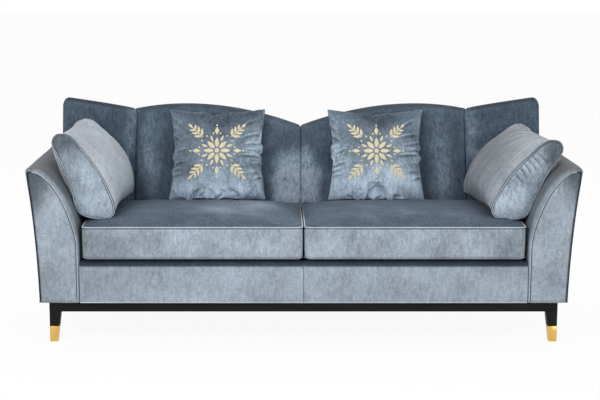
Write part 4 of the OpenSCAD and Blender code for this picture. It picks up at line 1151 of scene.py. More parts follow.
@dataclass
class Back:
    """The back: two humps and two wings, each a stuffed panel, with tight seams between them."""

    notch: float = 0.812
    seam_top: float = 0.888
    wing_top: float = 0.943
    peak: float = 0.520
    swell: float = 0.018
    seam_round: float = 0.009
    corner_round: float = 0.026
    pad_deep: float = 0.038
    top_drop: float = 0.054
    rear_width: float = 2.15
    rear_crown: float = 0.0045
    rear_welt: float = 0.0026
    side_foot: float = 0.690

    def hump_height(self, x: Array | float) -> Array:
        """Gives the height of the humps.

        Args:
            x: Distance from the middle.

        Returns:
            The height there.
        """
        x = np.asarray(x, float)
        inner = SIZES.hump - (SIZES.hump - self.notch) * (1 - x / self.peak) ** 2
        outer = SIZES.hump - (SIZES.hump - self.seam_top) * ((x - self.peak) / (SIZES.seam - self.peak)) ** 2
        return np.where(x < self.peak, inner, outer)

    def wing_height(self, u: Array | float) -> Array:
        """Gives the height of a wing at a distance from its seam."""
        return self.seam_top + (self.wing_top - self.seam_top) * np.clip(
            np.asarray(u, float) / (SIZES.wing - self.corner_round), 0, 1.06) ** 0.85

    def section(self, height: float, swell: float) -> Array:
        """Draws the back's section, up its face, over the top and down inside.

        Args:
            height: Height of the top.
            swell: How far the face stands proud.

        Returns:
            The closed ring in depth and height.
        """
        half = SIZES.top_round
        shoulder = height - half
        z = np.linspace(SIZES.deck + 0.0006, shoulder, 46)
        face = np.stack([SIZES.lean_v(z) - swell, z], axis=1)
        v0, v1 = face[-1, 0], SIZES.rear_v(shoulder)
        angle = np.radians(np.linspace(172, 8, 22))
        across = (v0 + v1) / 2 + (v1 - v0) / 2 * np.cos(angle)
        crown = np.stack([across, shoulder + half * np.sin(angle)], axis=1)
        low = height - self.top_drop
        rear = np.array([[v1, shoulder], [SIZES.rear_v(low), low], [SIZES.rear_v(low) - 0.008, low - 0.004]])
        zz = np.linspace(low - 0.004, SIZES.deck + 0.0006, 12)
        inner = np.stack([SIZES.rear_v(zz) - self.pad_deep, zz], axis=1)
        foot = np.linspace(inner[-1], face[0], 6)[1:-1]
        return np.vstack([face, crown, rear, inner, foot])

    @staticmethod
    def edge(distance: float, radius: float) -> float:
        """Gives how far a rounded edge has drawn in at a distance from its end."""
        left = max(0.0, radius - distance)
        return radius - math.sqrt(max(0.0, radius ** 2 - left ** 2)) if left else 0.0

    @staticmethod
    def stations(length: float, first: float, last: float, count: int) -> Array:
        """Spreads stations along a panel, closer at its rounded ends.

        Args:
            length: Length of the panel.
            first: Radius at its start.
            last: Radius at its end.
            count: Number of stations between.

        Returns:
            The stations.
        """
        bend = 1 - np.cos(np.linspace(0, math.pi / 2, 8))
        return np.concatenate([first * bend[:-1], np.linspace(first, length - last, count),
                               (length - last * bend[:-1])[::-1]])

    def hump(self, side: int) -> Piece:
        """Builds one hump.

        Args:
            side: -1 for left, 1 for right.

        Returns:
            The piece.
        """
        rings = []
        r = self.seam_round
        for x in self.stations(SIZES.seam, r, r, 66):
            share = x / SIZES.seam
            swell = self.swell * (1 - abs(2 * share - 1) ** 3.4)
            section = self.section(float(self.hump_height(x)), swell)
            drawn = max(self.edge(x, r), self.edge(SIZES.seam - x, r))
            section = section + inward(section) * drawn
            across = math.tan(SIZES.toe / 2) * section[:, 0] - SIZES.seam_shift(section)
            across = x + 0.0002 * (1 - share) + across * np.clip((share - 0.5) / 0.5, 0, 1)
            rings.append(np.stack([across, SIZES.inside + section[:, 0], section[:, 1]], axis=1))
        piece = ring_piece(f"back_hump_{hand(side)}", [ring * [side, 1, 1] for ring in rings])
        undulate(piece, 0.0022, (5.5, 3.0, 3.0), 1.3 * side + 4,
                 lambda p: ramp(p[:, 1], 0.3, -0.1) * ramp(p[:, 2], 0.34, 0.05))
        return piece

    def wing(self, side: int) -> Piece:
        """Builds one wing.

        Args:
            side: -1 for left, 1 for right.

        Returns:
            The piece.
        """
        rings = []
        width = SIZES.wing
        for u in self.stations(width, self.seam_round, self.corner_round, 40):
            swell = self.swell / 3 * (1 - abs(2 * u / width - 1) ** 3)
            section = self.section(float(self.wing_height(u)), swell)
            drawn = max(self.edge(u, self.seam_round), self.edge(width - u, self.corner_round))
            section = section + inward(section) * drawn
            mitre = SIZES.mitre(min(1, u / width))
            ring = SIZES.wing_point(u - mitre * section[:, 0], section[:, 0], section[:, 1])
            ring[:, 0] -= (1 - min(1, u / width)) * SIZES.seam_shift(section)
            rings.append(ring)
        piece = ring_piece(f"back_wing_{hand(side)}", [ring * [side, 1, 1] for ring in rings])
        undulate(piece, 0.0016, (5.5, 3.0, 4.0), 2.3 * side + 11,
                 lambda p: ramp(p[:, 1], 0.3, -0.1) * ramp(p[:, 2], 0.34, 0.05))
        return piece

    def rear_line(self) -> Array:
        """Gives the upper seam of the outside back, from one wing's side to the other's.

        Returns:
            The points.
        """
        xs = np.linspace(0, SIZES.seam, 50)
        z = self.hump_height(xs) - self.top_drop
        mid = np.stack([xs, SIZES.inside + SIZES.rear_v(z), z], axis=1)
        us = np.linspace(0.01, SIZES.wing - 0.006, 22)
        z = self.wing_height(us) - self.top_drop
        v = SIZES.rear_v(z)
        half = np.vstack([mid, SIZES.wing_point(us - SIZES.mitre(us / SIZES.wing) * v, v, z)])
        return np.vstack([(half * [-1, 1, 1])[::-1][:-1], half])

    def outside(self) -> Piece:
        """Builds the outside back: one wide, lightly padded panel.

        Returns:
            The piece.
        """
        seam, sheet = self.rear_line(), []
        for point in seam:
            z = np.linspace(SIZES.base + 0.0002, point[2] - 0.002, 34)
            shift = SIZES.rear_v(z) - SIZES.rear_v(point[2])
            out = ramp(abs(point[0]), SIZES.seam, 0.06) * math.sin(SIZES.toe)
            sheet.append(np.stack([point[0] + np.sign(point[0]) * shift * out, point[1] + shift, z], axis=1))
        grid = np.array(sheet)
        height, run = grid[:, :, 2], np.linspace(0, 1, len(grid))[:, None]
        away = np.minimum(height - SIZES.base + 0.02, seam[:, 2:] - height)
        away = np.minimum(away, np.minimum(run, 1 - run) * self.rear_width)
        outer, inner = grid.copy(), grid.copy()
        outer[:, :, 1] -= self.rear_crown * np.exp(-away / 0.012)
        inner[:, :, 1] -= 0.0085
        piece = skins("outside_back_panel", outer, inner)
        undulate(piece, 0.0008, (3.0, 1.0, 3.0), 21.0, lambda p: ramp(p[:, 2], 0.19, 0.05))
        return piece

    def wing_side(self, side: int) -> Piece:
        """Builds the panel that closes a wing's outer side, between its face and the outside back.

        Args:
            side: -1 for left, 1 for right.

        Returns:
            The piece.
        """
        height, count = float(self.wing_height(SIZES.wing)), 14
        low = height - self.top_drop - 0.002
        bulge = 0.0022 * np.sin(math.pi * np.linspace(0, 1, count)) ** 0.6
        rings = []
        for up in np.linspace(self.side_foot, height - SIZES.top_round, 34):
            rear = SIZES.rear_v(up) - 0.0035 - max(0.0, up - low) * 0.5
            v = np.linspace(float(SIZES.lean_v(up)) + 0.016, rear, count)
            u, z = SIZES.wing - math.tan(SIZES.toe) * v, np.full(count, up)
            outer = SIZES.wing_point(u - 0.0052 + bulge, v, z)
            inner = SIZES.wing_point(u - 0.0080, v, z)[::-1]
            rings.append(np.vstack([outer, inner]) * [side, 1, 1])
        return ring_piece(f"wing_side_{hand(side)}", rings)

    def build(self) -> None:
        """Builds and dresses the back."""
        for side in (-1, 1):
            dress(self.hump(side), Finish.BACK, "inside_back_cover", "inside_back_padding", fill=0.9)
        for side in (-1, 1):
            nodes = (f"wing_cover_{hand(side)}", f"wing_padding_{hand(side)}")
            dress(self.wing(side), Finish.WING, *nodes, fill=0.9)
            dress(self.wing_side(side), Finish.OUTSIDE)
        dress(self.outside(), Finish.OUTSIDE, "outside_back_cover", fill=0.9)
        dress(tube("outside_back_welt", self.rear_line() + [0, -0.001, 0.001], self.rear_welt), Finish.PIPING)


# Front border


@dataclass
class FrontBorder:
    """The padded border under the seat cushions, in two halves that meet in a topstitched seam."""

    edge: float = 0.026
    lap: float = 0.060
    crown: float = 0.0032
    seam: float = 0.005
    hem: float = 0.0024
    steps: int = 22

    def _section(self) -> Array:
        """Draws the border's section from the hem up the face and back over the deck.

        Returns:
            The closed ring in y and z.
        """
        y, z, r = SIZES.border, SIZES.deck, self.edge
        up = np.linspace(SIZES.base, z - r, self.steps)
        share = (up - SIZES.base) / (z - r - SIZES.base)
        face = np.stack([y + 0.0008 - self.crown * np.sin(np.pi * share) ** 0.7, up], axis=1)
        angle = np.radians(np.linspace(8, 90, 10))
        bend = np.stack([y + r - r * np.cos(angle), z - r + r * np.sin(angle)], axis=1)
        over = np.stack([np.linspace(y + r + 0.006, y + self.lap, 8), np.full(8, z)], axis=1)
        inner = np.array([[y + self.lap, z - 0.03], [y + 0.03, z - 0.03], [y + 0.0145, z - 0.05],
                          [y + 0.0145, SIZES.base + 0.03], [y + 0.0145, SIZES.base]])
        return np.vstack([face, bend, over, inner])

    def half(self, side: int) -> Piece:
        """Builds one half.

        Args:
            side: -1 for left, 1 for right.

        Returns:
            The piece.
        """
        section = self._section()
        rings = []
        length = SIZES.seat_half - 0.0006
        for x in Back.stations(length, self.seam, 0.003, 72):
            drawn = max(Back.edge(x, self.seam), Back.edge(length - x, 0.003))
            ring = section + inward(section) * drawn
            rings.append(np.stack([np.full(len(ring), side * (x + 0.0003)), ring[:, 0], ring[:, 1]], axis=1))
        piece = ring_piece(f"front_border_{hand(side)}", rings)
        undulate(piece, 0.0012, (9.0, 3.0, 5.0), 6.0 + side, lambda p: ramp(p[:, 2], 0.165, 0.02))
        return piece

    def build(self) -> None:
        """Builds and dresses the border, its stitches and the hem."""
        for side in (-1, 1):
            dress(self.half(side), Finish.FRONT, "front_rail_cover", "front_rail_padding", fill=0.9)
        rows = []
        face = self._section()[:self.steps]
        for side in (-1, 1):
            line = np.stack([np.full(len(face), side * 0.009), face[:, 0] - 0.0002, face[:, 1]], axis=1)
            rows.append(stitches(f"seam_row_{side}", line, np.tile([0.0, -1.0, 0.2], (len(line), 1))))
        dress(join("front_seam_stitching", rows), Finish.THREAD)
        reach = SIZES.seat_half - 0.002
        ends = [[side * reach, SIZES.border - 0.0002, SIZES.base + 0.0026] for side in (-1, 1)]
        dress(tube("front_hem", np.linspace(ends[0], ends[1], 60), self.hem), Finish.PIPING)


# Loose cushions


class CushionGrid:
    """A closed mesh of quads with two end panels and a border between them."""

    def __init__(self, across: int, up: int, levels: int) -> None:
        """Numbers the points.

        Args:
            across: Quads along an end panel.
            up: Quads the other way.
            levels: Quads along the border, from end to end.
        """
        self.across, self.up, self.levels = across, up, levels
        self.loop = [(i, 0) for i in range(across)] + [(across, j) for j in range(up)] \
            + [(i, up) for i in range(across, 0, -1)] + [(0, j) for j in range(up, 0, -1)]
        self.count = len(self.loop)

    def points(self, rims: Sequence[Array], caps: Sequence[Array]) -> Array:
        """Orders the points of the border's rings and of the two end panels."""
        return np.concatenate([np.concatenate(rims), caps[0].reshape(-1, 3), caps[1].reshape(-1, 3)])

    def inner(self, rim: Array) -> Array:
        """Fills an end panel from its rim by blending the four sides.

        Args:
            rim: The points of the rim, in the loop's order.

        Returns:
            The inner points, across by up.
        """
        at = {spot: rim[k] for k, spot in enumerate(self.loop)}
        n, m = self.across, self.up
        out = np.zeros((n - 1, m - 1, 3))
        for i in range(1, n):
            for j in range(1, m):
                a, b = i / n, j / m
                sides = (1 - b) * at[(i, 0)] + b * at[(i, m)] + (1 - a) * at[(0, j)] + a * at[(n, j)]
                low, high = ((1 - a) * at[(0, k)] + a * at[(n, k)] for k in (0, m))
                out[i - 1, j - 1] = sides - (1 - b) * low - b * high
        return out

    def faces(self) -> list[tuple[int, ...]]:
        """Lists the quads.

        Returns:
            The faces as indices.
        """
        found: list[tuple[int, ...]] = []
        c = self.count
        for k in range(self.levels):
            for p in range(c):
                q = (p + 1) % c
                found.append((k * c + p, k * c + q, (k + 1) * c + q, (k + 1) * c + p))
        rims = (self.levels + 1) * c
        inner = (self.across - 1) * (self.up - 1)
        for cap in (0, 1):
            ring = cap * self.levels * c
            where = {spot: ring + k for k, spot in enumerate(self.loop)}
            for i in range(1, self.across):
                for j in range(1, self.up):
                    where[(i, j)] = rims + cap * inner + (i - 1) * (self.up - 1) + (j - 1)
            for i in range(self.across):
                for j in range(self.up):
                    found.append((where[(i, j)], where[(i + 1, j)], where[(i + 1, j + 1)], where[(i, j + 1)]))
        return found

    def rim(self, level: int) -> slice:
        """Gives where a ring of the border lies among the points."""
        return slice(level * self.count, (level + 1) * self.count)


@dataclass
class ClothRun:
    """One short cloth simulation under pressure."""

    pressure: float
    frames: int = 20
    slack: float = 0.0
    stiff: float = 12.0
    bending: float = 0.4
    mass: float = 0.25

    def run(self, piece: Piece, pinned: Sequence[int]) -> None:
        """Puffs a piece up and keeps the result in its mesh.

        Args:
            piece: The object.
            pinned: Points that stay where they are.
        """
        only(piece)
        if pinned:
            piece.vertex_groups.new(name="held").add(list(pinned), 1.0, "REPLACE")
        bpy.ops.object.modifier_add(type="CLOTH")
        modifier = piece.modifiers[-1]
        cloth = modifier.settings
        cloth.quality = 5
        cloth.mass = self.mass
        cloth.air_damping = 2.0
        cloth.tension_stiffness = cloth.compression_stiffness = self.stiff
        cloth.shear_stiffness = self.stiff / 3
        cloth.bending_stiffness = self.bending
        cloth.use_pressure = True
        cloth.uniform_pressure_force = self.pressure
        cloth.shrink_min = -self.slack
        cloth.effector_weights.gravity = 0
        if pinned:
            cloth.vertex_group_mass = "held"
        modifier.collision_settings.use_collision = False
        modifier.collision_settings.use_self_collision = False
        modifier.point_cache.frame_start = 1
        modifier.point_cache.frame_end = self.frames + 1
        for frame in range(1, self.frames + 1):
            bpy.context.scene.frame_set(frame)
        bpy.ops.object.modifier_apply(modifier=modifier.name)
        bpy.context.scene.frame_set(1)
        piece.vertex_groups.clear()

    def puff(self, piece: Piece, pinned: Sequence[int], cap: float) -> Array:
        """Args:
            piece: The object.
            pinned: Points that stay where they are.
            cap: The furthest that a point moves.

        Returns:
            The points.
        """
        start = get_points(piece)
        self.run(piece, pinned)
        moved = get_points(piece) - start
        size = np.linalg.norm(moved, axis=1, keepdims=True)
        return start + moved * np.minimum(1, cap / np.maximum(size, 1e-9))


@dataclass
class SeatCushion:
    """A boxed seat cushion with piping round both panels."""

    side: int
    height: float = 0.145
    crown: float = 0.033
    low_seam: float = 0.022
    corner: float = 0.026
    pipe: float = 0.0027
    # seam: radius of the dark tube that paints the shadow line under the upper piping.
    seam: float = 0.0012
    roll: tuple[tuple[float, float], ...] = (
        (0.0004, 0.050), (0.0055, 0.022), (0.0115, 0.009), (0.0175, 0.0022))
    grid: CushionGrid = field(default_factory=lambda: CushionGrid(60, 40, 16))

    def __post_init__(self) -> None:
        """Reads the place of the cushion from the frame."""
        self.name = hand(self.side)
        self.low, self.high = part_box(f"seat_cushion_cover_{self.name}")

    def _plan(self, share: float) -> Array:
        """Draws the cushion's outline from above.

        Args:
            share: Height from the lower seam to the upper one, for the border's swell.

        Returns:
            The rim in x and y.
        """
        lo, hi = self.low, self.high
        mid = np.array([(lo.x + hi.x) / 2, (lo.y + hi.y) / 2 + 0.002])
        half = np.array([(hi.x - lo.x) / 2, (hi.y - lo.y) / 2 - 0.002])
        flat = []
        for i, j in self.grid.loop:
            p = np.array([2 * i / self.grid.across - 1, 2 * j / self.grid.up - 1]) * half
            core = np.clip(p, -(half - self.corner), half - self.corner)
            d = p - core
            if np.all(np.abs(d) > 1e-9):
                d *= np.max(np.abs(d)) / np.linalg.norm(d)
            flat.append(core + d)
        flat = np.array(flat)
        u, v = flat[:, 0] / half[0], flat[:, 1] / half[1]
        drawn = 0.0045 * (1 - np.sin(np.pi * share))
        flat[:, 1] += drawn * np.where(v < 0, 1, -1) * (1 - u ** 6) * 0.35
        point = flat + mid
        clip = np.clip(np.abs(point[:, 0]) - SIZES.seam + 0.01, 0, None) * math.tan(SIZES.toe)
        point[:, 1] -= clip * np.clip(v, 0, 1) ** 2
        return point

    def form(self) -> Piece:
        """Builds the cushion's mesh before it is puffed up.

        Returns:
            The piece.
        """
        grid, z0 = self.grid, self.low.z
        seams = (z0 + self.low_seam, z0 + self.height)
        rims = []
        lowest = self._plan(0.0)
        into = inward(lowest)
        for up, inset in self.roll:
            rims.append(np.column_stack([lowest + into * inset, np.full(len(lowest), z0 + up)]))
        steps = grid.levels - len(self.roll)
        for k in range(steps + 1):
            share = k / steps
            plan = self._plan(share)
            rims.append(np.column_stack([plan, np.full(len(plan), seams[0] + (seams[1] - seams[0]) * share)]))
        caps = [grid.inner(rims[0]), grid.inner(rims[-1])]
        a = np.linspace(-1, 1, grid.across + 1)[1:-1, None]
        b = np.linspace(-1, 1, grid.up + 1)[None, 1:-1]
        caps[1][:, :, 2] += self.crown * ((1 - np.abs(a) ** 2.6) * (1 - np.abs(b) ** 2.6)) ** 0.8
        return mesh_piece(f"seat_cushion_{self.name}", grid.points(rims, caps), grid.faces())

    def _painted_shade(self, points: Array) -> Array:
        """Paints shade along the lower edge and a contact shadow where the side cushion stands, and a painted
        highlight on the outer front corners.

        Args:
            points: The cushion's points.

        Returns:
            The painted light and shade at each point.
        """
        (x, y, z), lo, hi = points.T, self.low, self.high
        # Painted shade along the lower edge.
        tone = -1.7 * ramp(z, lo.z + 0.017, -0.006)
        # Painted highlight down the outer front corners.
        edge = np.minimum(x - lo.x, hi.x - x)
        tone += 0.35 * np.clip(1 - edge / 0.014, 0, 1) * (y < lo.y + 0.05) * ramp(z, lo.z + 0.03, 0.02)
        # Painted contact shadow on the seat round the side cushion's foot.
        foot = np.clip(0.775 - np.abs(x) - (y + 0.317) * 0.07, 0, None)
        return tone - 0.75 * np.exp(-(foot / 0.045) ** 2) * (z > lo.z + self.height) * ramp(y, -0.34, 0.04)

    def build(self) -> None:
        """Builds, puffs up and dresses the cushion."""
        grid, lo, hi = self.grid, self.low, self.high
        piece = self.form()
        low_seam, top_seam = grid.rim(len(self.roll)), grid.rim(grid.levels)
        inner = (grid.across - 1) * (grid.up - 1)
        held = [*range(low_seam.stop), *range(top_seam.start, top_seam.stop + inner)]
        cloth = ClothRun(pressure=1.6, frames=16, slack=0.012, stiff=14.0, bending=0.6)
        points = np.clip(cloth.puff(piece, held, 0.010), tuple(lo), (hi.x, hi.y, hi.z + 0.008))
        set_points(piece, points)
        loops = [points[low_seam].copy(), points[top_seam].copy()]
        subdivide(piece)
        undulate(piece, 0.0016, (7.0, 7.0, 9.0), 14.0 + 2.3 * self.side,
                 lambda p: ramp(p[:, 2], lo.z + 0.01, 0.02))
        store_painted_shade(piece, self._painted_shade(get_points(piece)))
        body = f"seat_cushion_{self.name}"
        nodes = (f"seat_cushion_cover_{self.name}", f"seat_cushion_core_{self.name}")
        dress(piece, Finish.SEAT, *nodes, body=body, fill=0.85)
        levels = (("lower", -0.0008, Finish.SEAT), ("upper", 0.0012, Finish.PIPING))
        for loop, (level, rise, finish) in zip(loops, levels):
            away = loop - loop.mean(axis=0)
            away[:, 2] = 0
            path = loop - 0.0006 * away / np.linalg.norm(away, axis=1, keepdims=True) + [0, 0, rise]
            path[:, 0] = np.clip(path[:, 0], lo.x + self.pipe - 0.001, hi.x - self.pipe + 0.001)
            dress(tube(f"seat_cushion_{level}_piping_{self.name}", path, self.pipe, True), finish, body=body)
        # A thin dark tube just below the upper piping, a painted shadow line.
        line = loops[1] + [0, 0, -0.0034]
        out = line - line.mean(axis=0)
        line += 0.0004 * out / np.linalg.norm(out, axis=1, keepdims=True)
        line[:, 0] = np.clip(line[:, 0], lo.x + 0.0004, hi.x - 0.0004)
        seam = tube(f"seat_cushion_seam_{self.name}", line, self.seam, True, 6)
        dress(seam, Finish.DARK_PIPING, body=body)


@dataclass
class ScatterCushion:
    """A knife-edge scatter cushion: two panels sewn at their edges and stuffed."""

    side: int
    wide: float = 0.430
    tall: float = 0.416
    thick: float = 0.130
    lean: float = math.radians(22)
    cells: int = 60
    folds: tuple[tuple[float, float, float, float, float], ...] = (
        (0.42, 0.30, 0.92, 0.46, 1.0), (0.50, 0.16, 0.93, 0.27, 0.8), (0.62, 0.07, 0.96, 0.09, 0.6),
        (0.40, -0.08, 0.92, -0.04, 1.2), (0.56, -0.44, 0.86, -0.40, 0.6), (0.70, -0.58, 0.97, -0.46, 0.9),
        (0.50, 0.58, 0.78, 0.76, 0.8), (0.62, -0.24, 0.90, -0.22, 0.5), (-0.95, 0.46, -0.70, 0.26, 1.0),
        (-0.94, 0.62, -0.80, 0.50, 0.6), (-0.90, 0.02, -0.58, 0.10, 0.7), (-0.96, -0.24, -0.62, -0.20, 1.0),
        (-0.95, -0.37, -0.70, -0.34, 0.8), (-0.95, -0.50, -0.70, -0.45, 0.7), (-0.92, 0.80, -0.78, 0.66, 0.7),
        (-0.42, -0.92, -0.26, -0.84, 0.6), (-0.10, -0.93, 0.10, -0.87, 0.5), (0.26, -0.92, 0.44, -0.86, 0.6))

    def __post_init__(self) -> None:
        """Reads the place of the cushion from the frame."""
        self.name = hand(self.side)
        self.low, self.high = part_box(f"scatter_cushion_cover_{self.name}")
        self.turn = Matrix.Rotation(math.pi / 2 - self.lean, 3, "X")

    def _flat(self) -> tuple[Array, list[tuple[int, ...]]]:
        """Lays the two panels on each other, joined at the rim.

        Returns:
            The points and the faces.
        """
        n = self.cells
        index: dict[tuple[int, int, int], int] = {}
        points, faces = [], []
        for layer in (0, 1):
            for i in range(n + 1):
                for j in range(n + 1):
                    rim = i in (0, n) or j in (0, n)
                    if rim and layer:
                        index[(i, j, 1)] = index[(i, j, 0)]
                        continue
                    index[(i, j, layer)] = len(points)
                    u, v = 2 * i / n - 1, 2 * j / n - 1
                    rise = 0.012 * (1 - u * u) * (1 - v * v)
                    wobble = 0.0012 * noise.noise(Vector((u * 4 + self.side, v * 4, layer * 7.0)))
                    points.append((u * 0.5, v * 0.5, (rise + (0 if rim else wobble)) * (1 if layer else -1)))
        for layer in (0, 1):
            for i in range(n):
                for j in range(n):
                    quad = [index[(i, j, layer)], index[(i + 1, j, layer)],
                            index[(i + 1, j + 1, layer)], index[(i, j + 1, layer)]]
                    faces.append(tuple(quad if layer else quad[::-1]))
        return np.array(points) * [self.wide * 1.06, self.tall * 1.06, 1], faces

    def form(self) -> Piece:
        """Stuffs the two panels and gives the cushion its rest shape, lying flat.

        Returns:
            The piece.
        """
        points, faces = self._flat()
        piece = mesh_piece(f"scatter_cushion_{self.name}", points, faces)
        flat = get_points(piece)
        ClothRun(pressure=3.0, frames=34, stiff=9.0, bending=0.15).run(piece, [])
        shaped = get_points(piece)
        shaped -= (shaped.max(axis=0) + shaped.min(axis=0)) / 2
        span = shaped.max(axis=0) - shaped.min(axis=0)
        shaped *= np.array([self.wide, self.tall, self.thick]) / span
        shaped = self._edges(shaped)
        shaped[:, 2] *= 1 - 0.10 * shaped[:, 1] / (self.tall / 2)
        up = np.clip(shaped[:, 1] / (self.tall / 2), 0, 1)
        shaped[:, 2] *= np.where(shaped[:, 2] < 0, 0.92 * (1 - 0.62 * up), 1.04)
        set_points(piece, shaped)
        subdivide(piece)
        points, tone = self._creased(get_points(piece))
        set_points(piece, points)
        store_painted_shade(piece, tone)
        face_outwards(piece)
        return piece

    def _edges(self, points: Array) -> Array:
        """Gives the cushion its drawn-in sides, pointed corners and the dent pressed into its top edge.

        Args:
            points: The stuffed shape, lying flat.

        Returns:
            The moved points.
        """
        n = self.cells
        at = {(i, j): i * (n + 1) + j for i in range(n + 1) for j in range(n + 1)}
        half = np.array([self.wide, self.tall]) / 2
        x, y = points[:, 0].copy(), points[:, 1].copy()
        v = np.clip(y / half[1], -1, 1)
        for side, edge in ((-1, 0), (1, n)):
            rim = points[[at[(edge, j)] for j in range(n + 1)]]
            reach = np.abs(np.interp(y, rim[:, 1], rim[:, 0]))
            wanted = half[0] * (1 - (0.120 if side < 0 else 0.105) * (1 - np.abs(v) ** 1.7))
            share = np.clip(np.abs(x) / reach, 0, 1) ** 2
            x = np.where(x * side > 0, x * (1 + (wanted / reach - 1) * share), x)
        u = np.clip(points[:, 0] / half[0], -1, 1)
        for side, edge in ((-1, 0), (1, n)):
            rim = points[[at[(i, edge)] for i in range(n + 1)]]
            reach = np.abs(np.interp(points[:, 0], rim[:, 0], rim[:, 1]))
            drawn = 0.025 * (1 - u ** 2) if side < 0 else 0.125 * (1 - np.abs(u) ** 1.2)
            wanted = half[1] * (1 - drawn) - (0.012 * np.exp(-((u + 0.08) / 0.08) ** 2) if side > 0 else 0)
            share = np.clip(np.abs(y) / reach, 0, 1) ** 2
            y = np.where(y * side > 0, y * (1 + (wanted / reach - 1) * share), y)
        return np.column_stack([x, y, points[:, 2]])

    def _creased(self, points: Array) -> tuple[Array, Array]:
        """Presses soft folds into the face, running in from both sides, and paints their light and shade.

        Args:
            points: The cushion's points, lying flat.

        Returns:
            The moved points, and the painted light and shade at each one: highlights on ridges and along the
            rim, shade in creases.
        """
        half = np.array([self.wide, self.tall]) / 2
        flat = points[:, :2]
        drift = np.array([noise.noise(Vector((a * 14 + 4 * self.side, b * 14, 2.0))) for a, b in flat])
        lift, tone = np.zeros(len(points)), np.zeros(len(points))
        for k, (u0, v0, u1, v1, power) in enumerate(self.folds):
            start = np.array([u0, v0 + (0.03 * math.sin(5.0 * k) if self.side > 0 else 0)]) * half
            way = np.array([u1, v1]) * half - start
            length = float(np.linalg.norm(way))
            way /= length
            along = (flat - start) @ way / length
            bow = 0.05 * length * (along - 0.5) ** 2
            off = (flat - start) @ np.array([-way[1], way[0]]) + 0.004 * drift + bow
            off *= 1 if u1 > 0 or u0 < -0.5 else 1.2
            ends = np.clip(along / 0.35, 0, 1) * np.clip((1.05 - along) / 0.35, 0, 1)
            ridge = np.exp(-(off / 0.0062) ** 2) * ends * power
            crease = np.exp(-((off + 0.0092) / 0.0048) ** 2) * ends * power
            lift += 0.0048 * ridge - 0.0034 * crease
            # Painted highlight on each ridge and painted shade in each crease.
            tone += 0.85 * ridge - 1.05 * crease
        front = points[:, 2] > 0
        gap = np.min(np.abs(half * [0.95, 0.93] - np.abs(flat)), axis=1)
        # Painted highlight along the sewn edge.
        rim = np.clip(1 - np.abs(points[:, 2]) / 0.007, 0, 1) * (gap < 0.2)
        moved = points.copy()
        moved[:, 2] += np.sign(points[:, 2]) * lift * np.clip(np.abs(points[:, 2]) / 0.012, 0, 1) * front
        return moved, tone * front + 0.75 * rim

    def place(self, piece: Piece) -> None:
        """Leans a flat-lying piece back and sets it where the frame has the cushion.

        Args:
            piece: The cushion.
        """
        points = get_points(piece) @ np.array(self.turn).T
        lo, hi = points.min(axis=0), points.max(axis=0)
        self.shift = np.array([(self.low.x + self.high.x) / 2 - (lo[0] + hi[0]) / 2,
                               self.high.y - 0.001 - hi[1], self.low.z + 0.0006 - lo[2]])
        set_points(piece, points + self.shift)

    def build(self) -> None:
        """Builds and dresses the cushion and its embroidery."""
        body, piece = f"scatter_cushion_{self.name}", self.form()
        self.place(piece)
        nodes = (f"scatter_cushion_cover_{self.name}", f"scatter_cushion_filling_{self.name}")
        dress(piece, Finish.SCATTER, *nodes, body=body, fill=0.6)
        dress(Embroidery(self, piece).build(), Finish.GOLD, body=body)


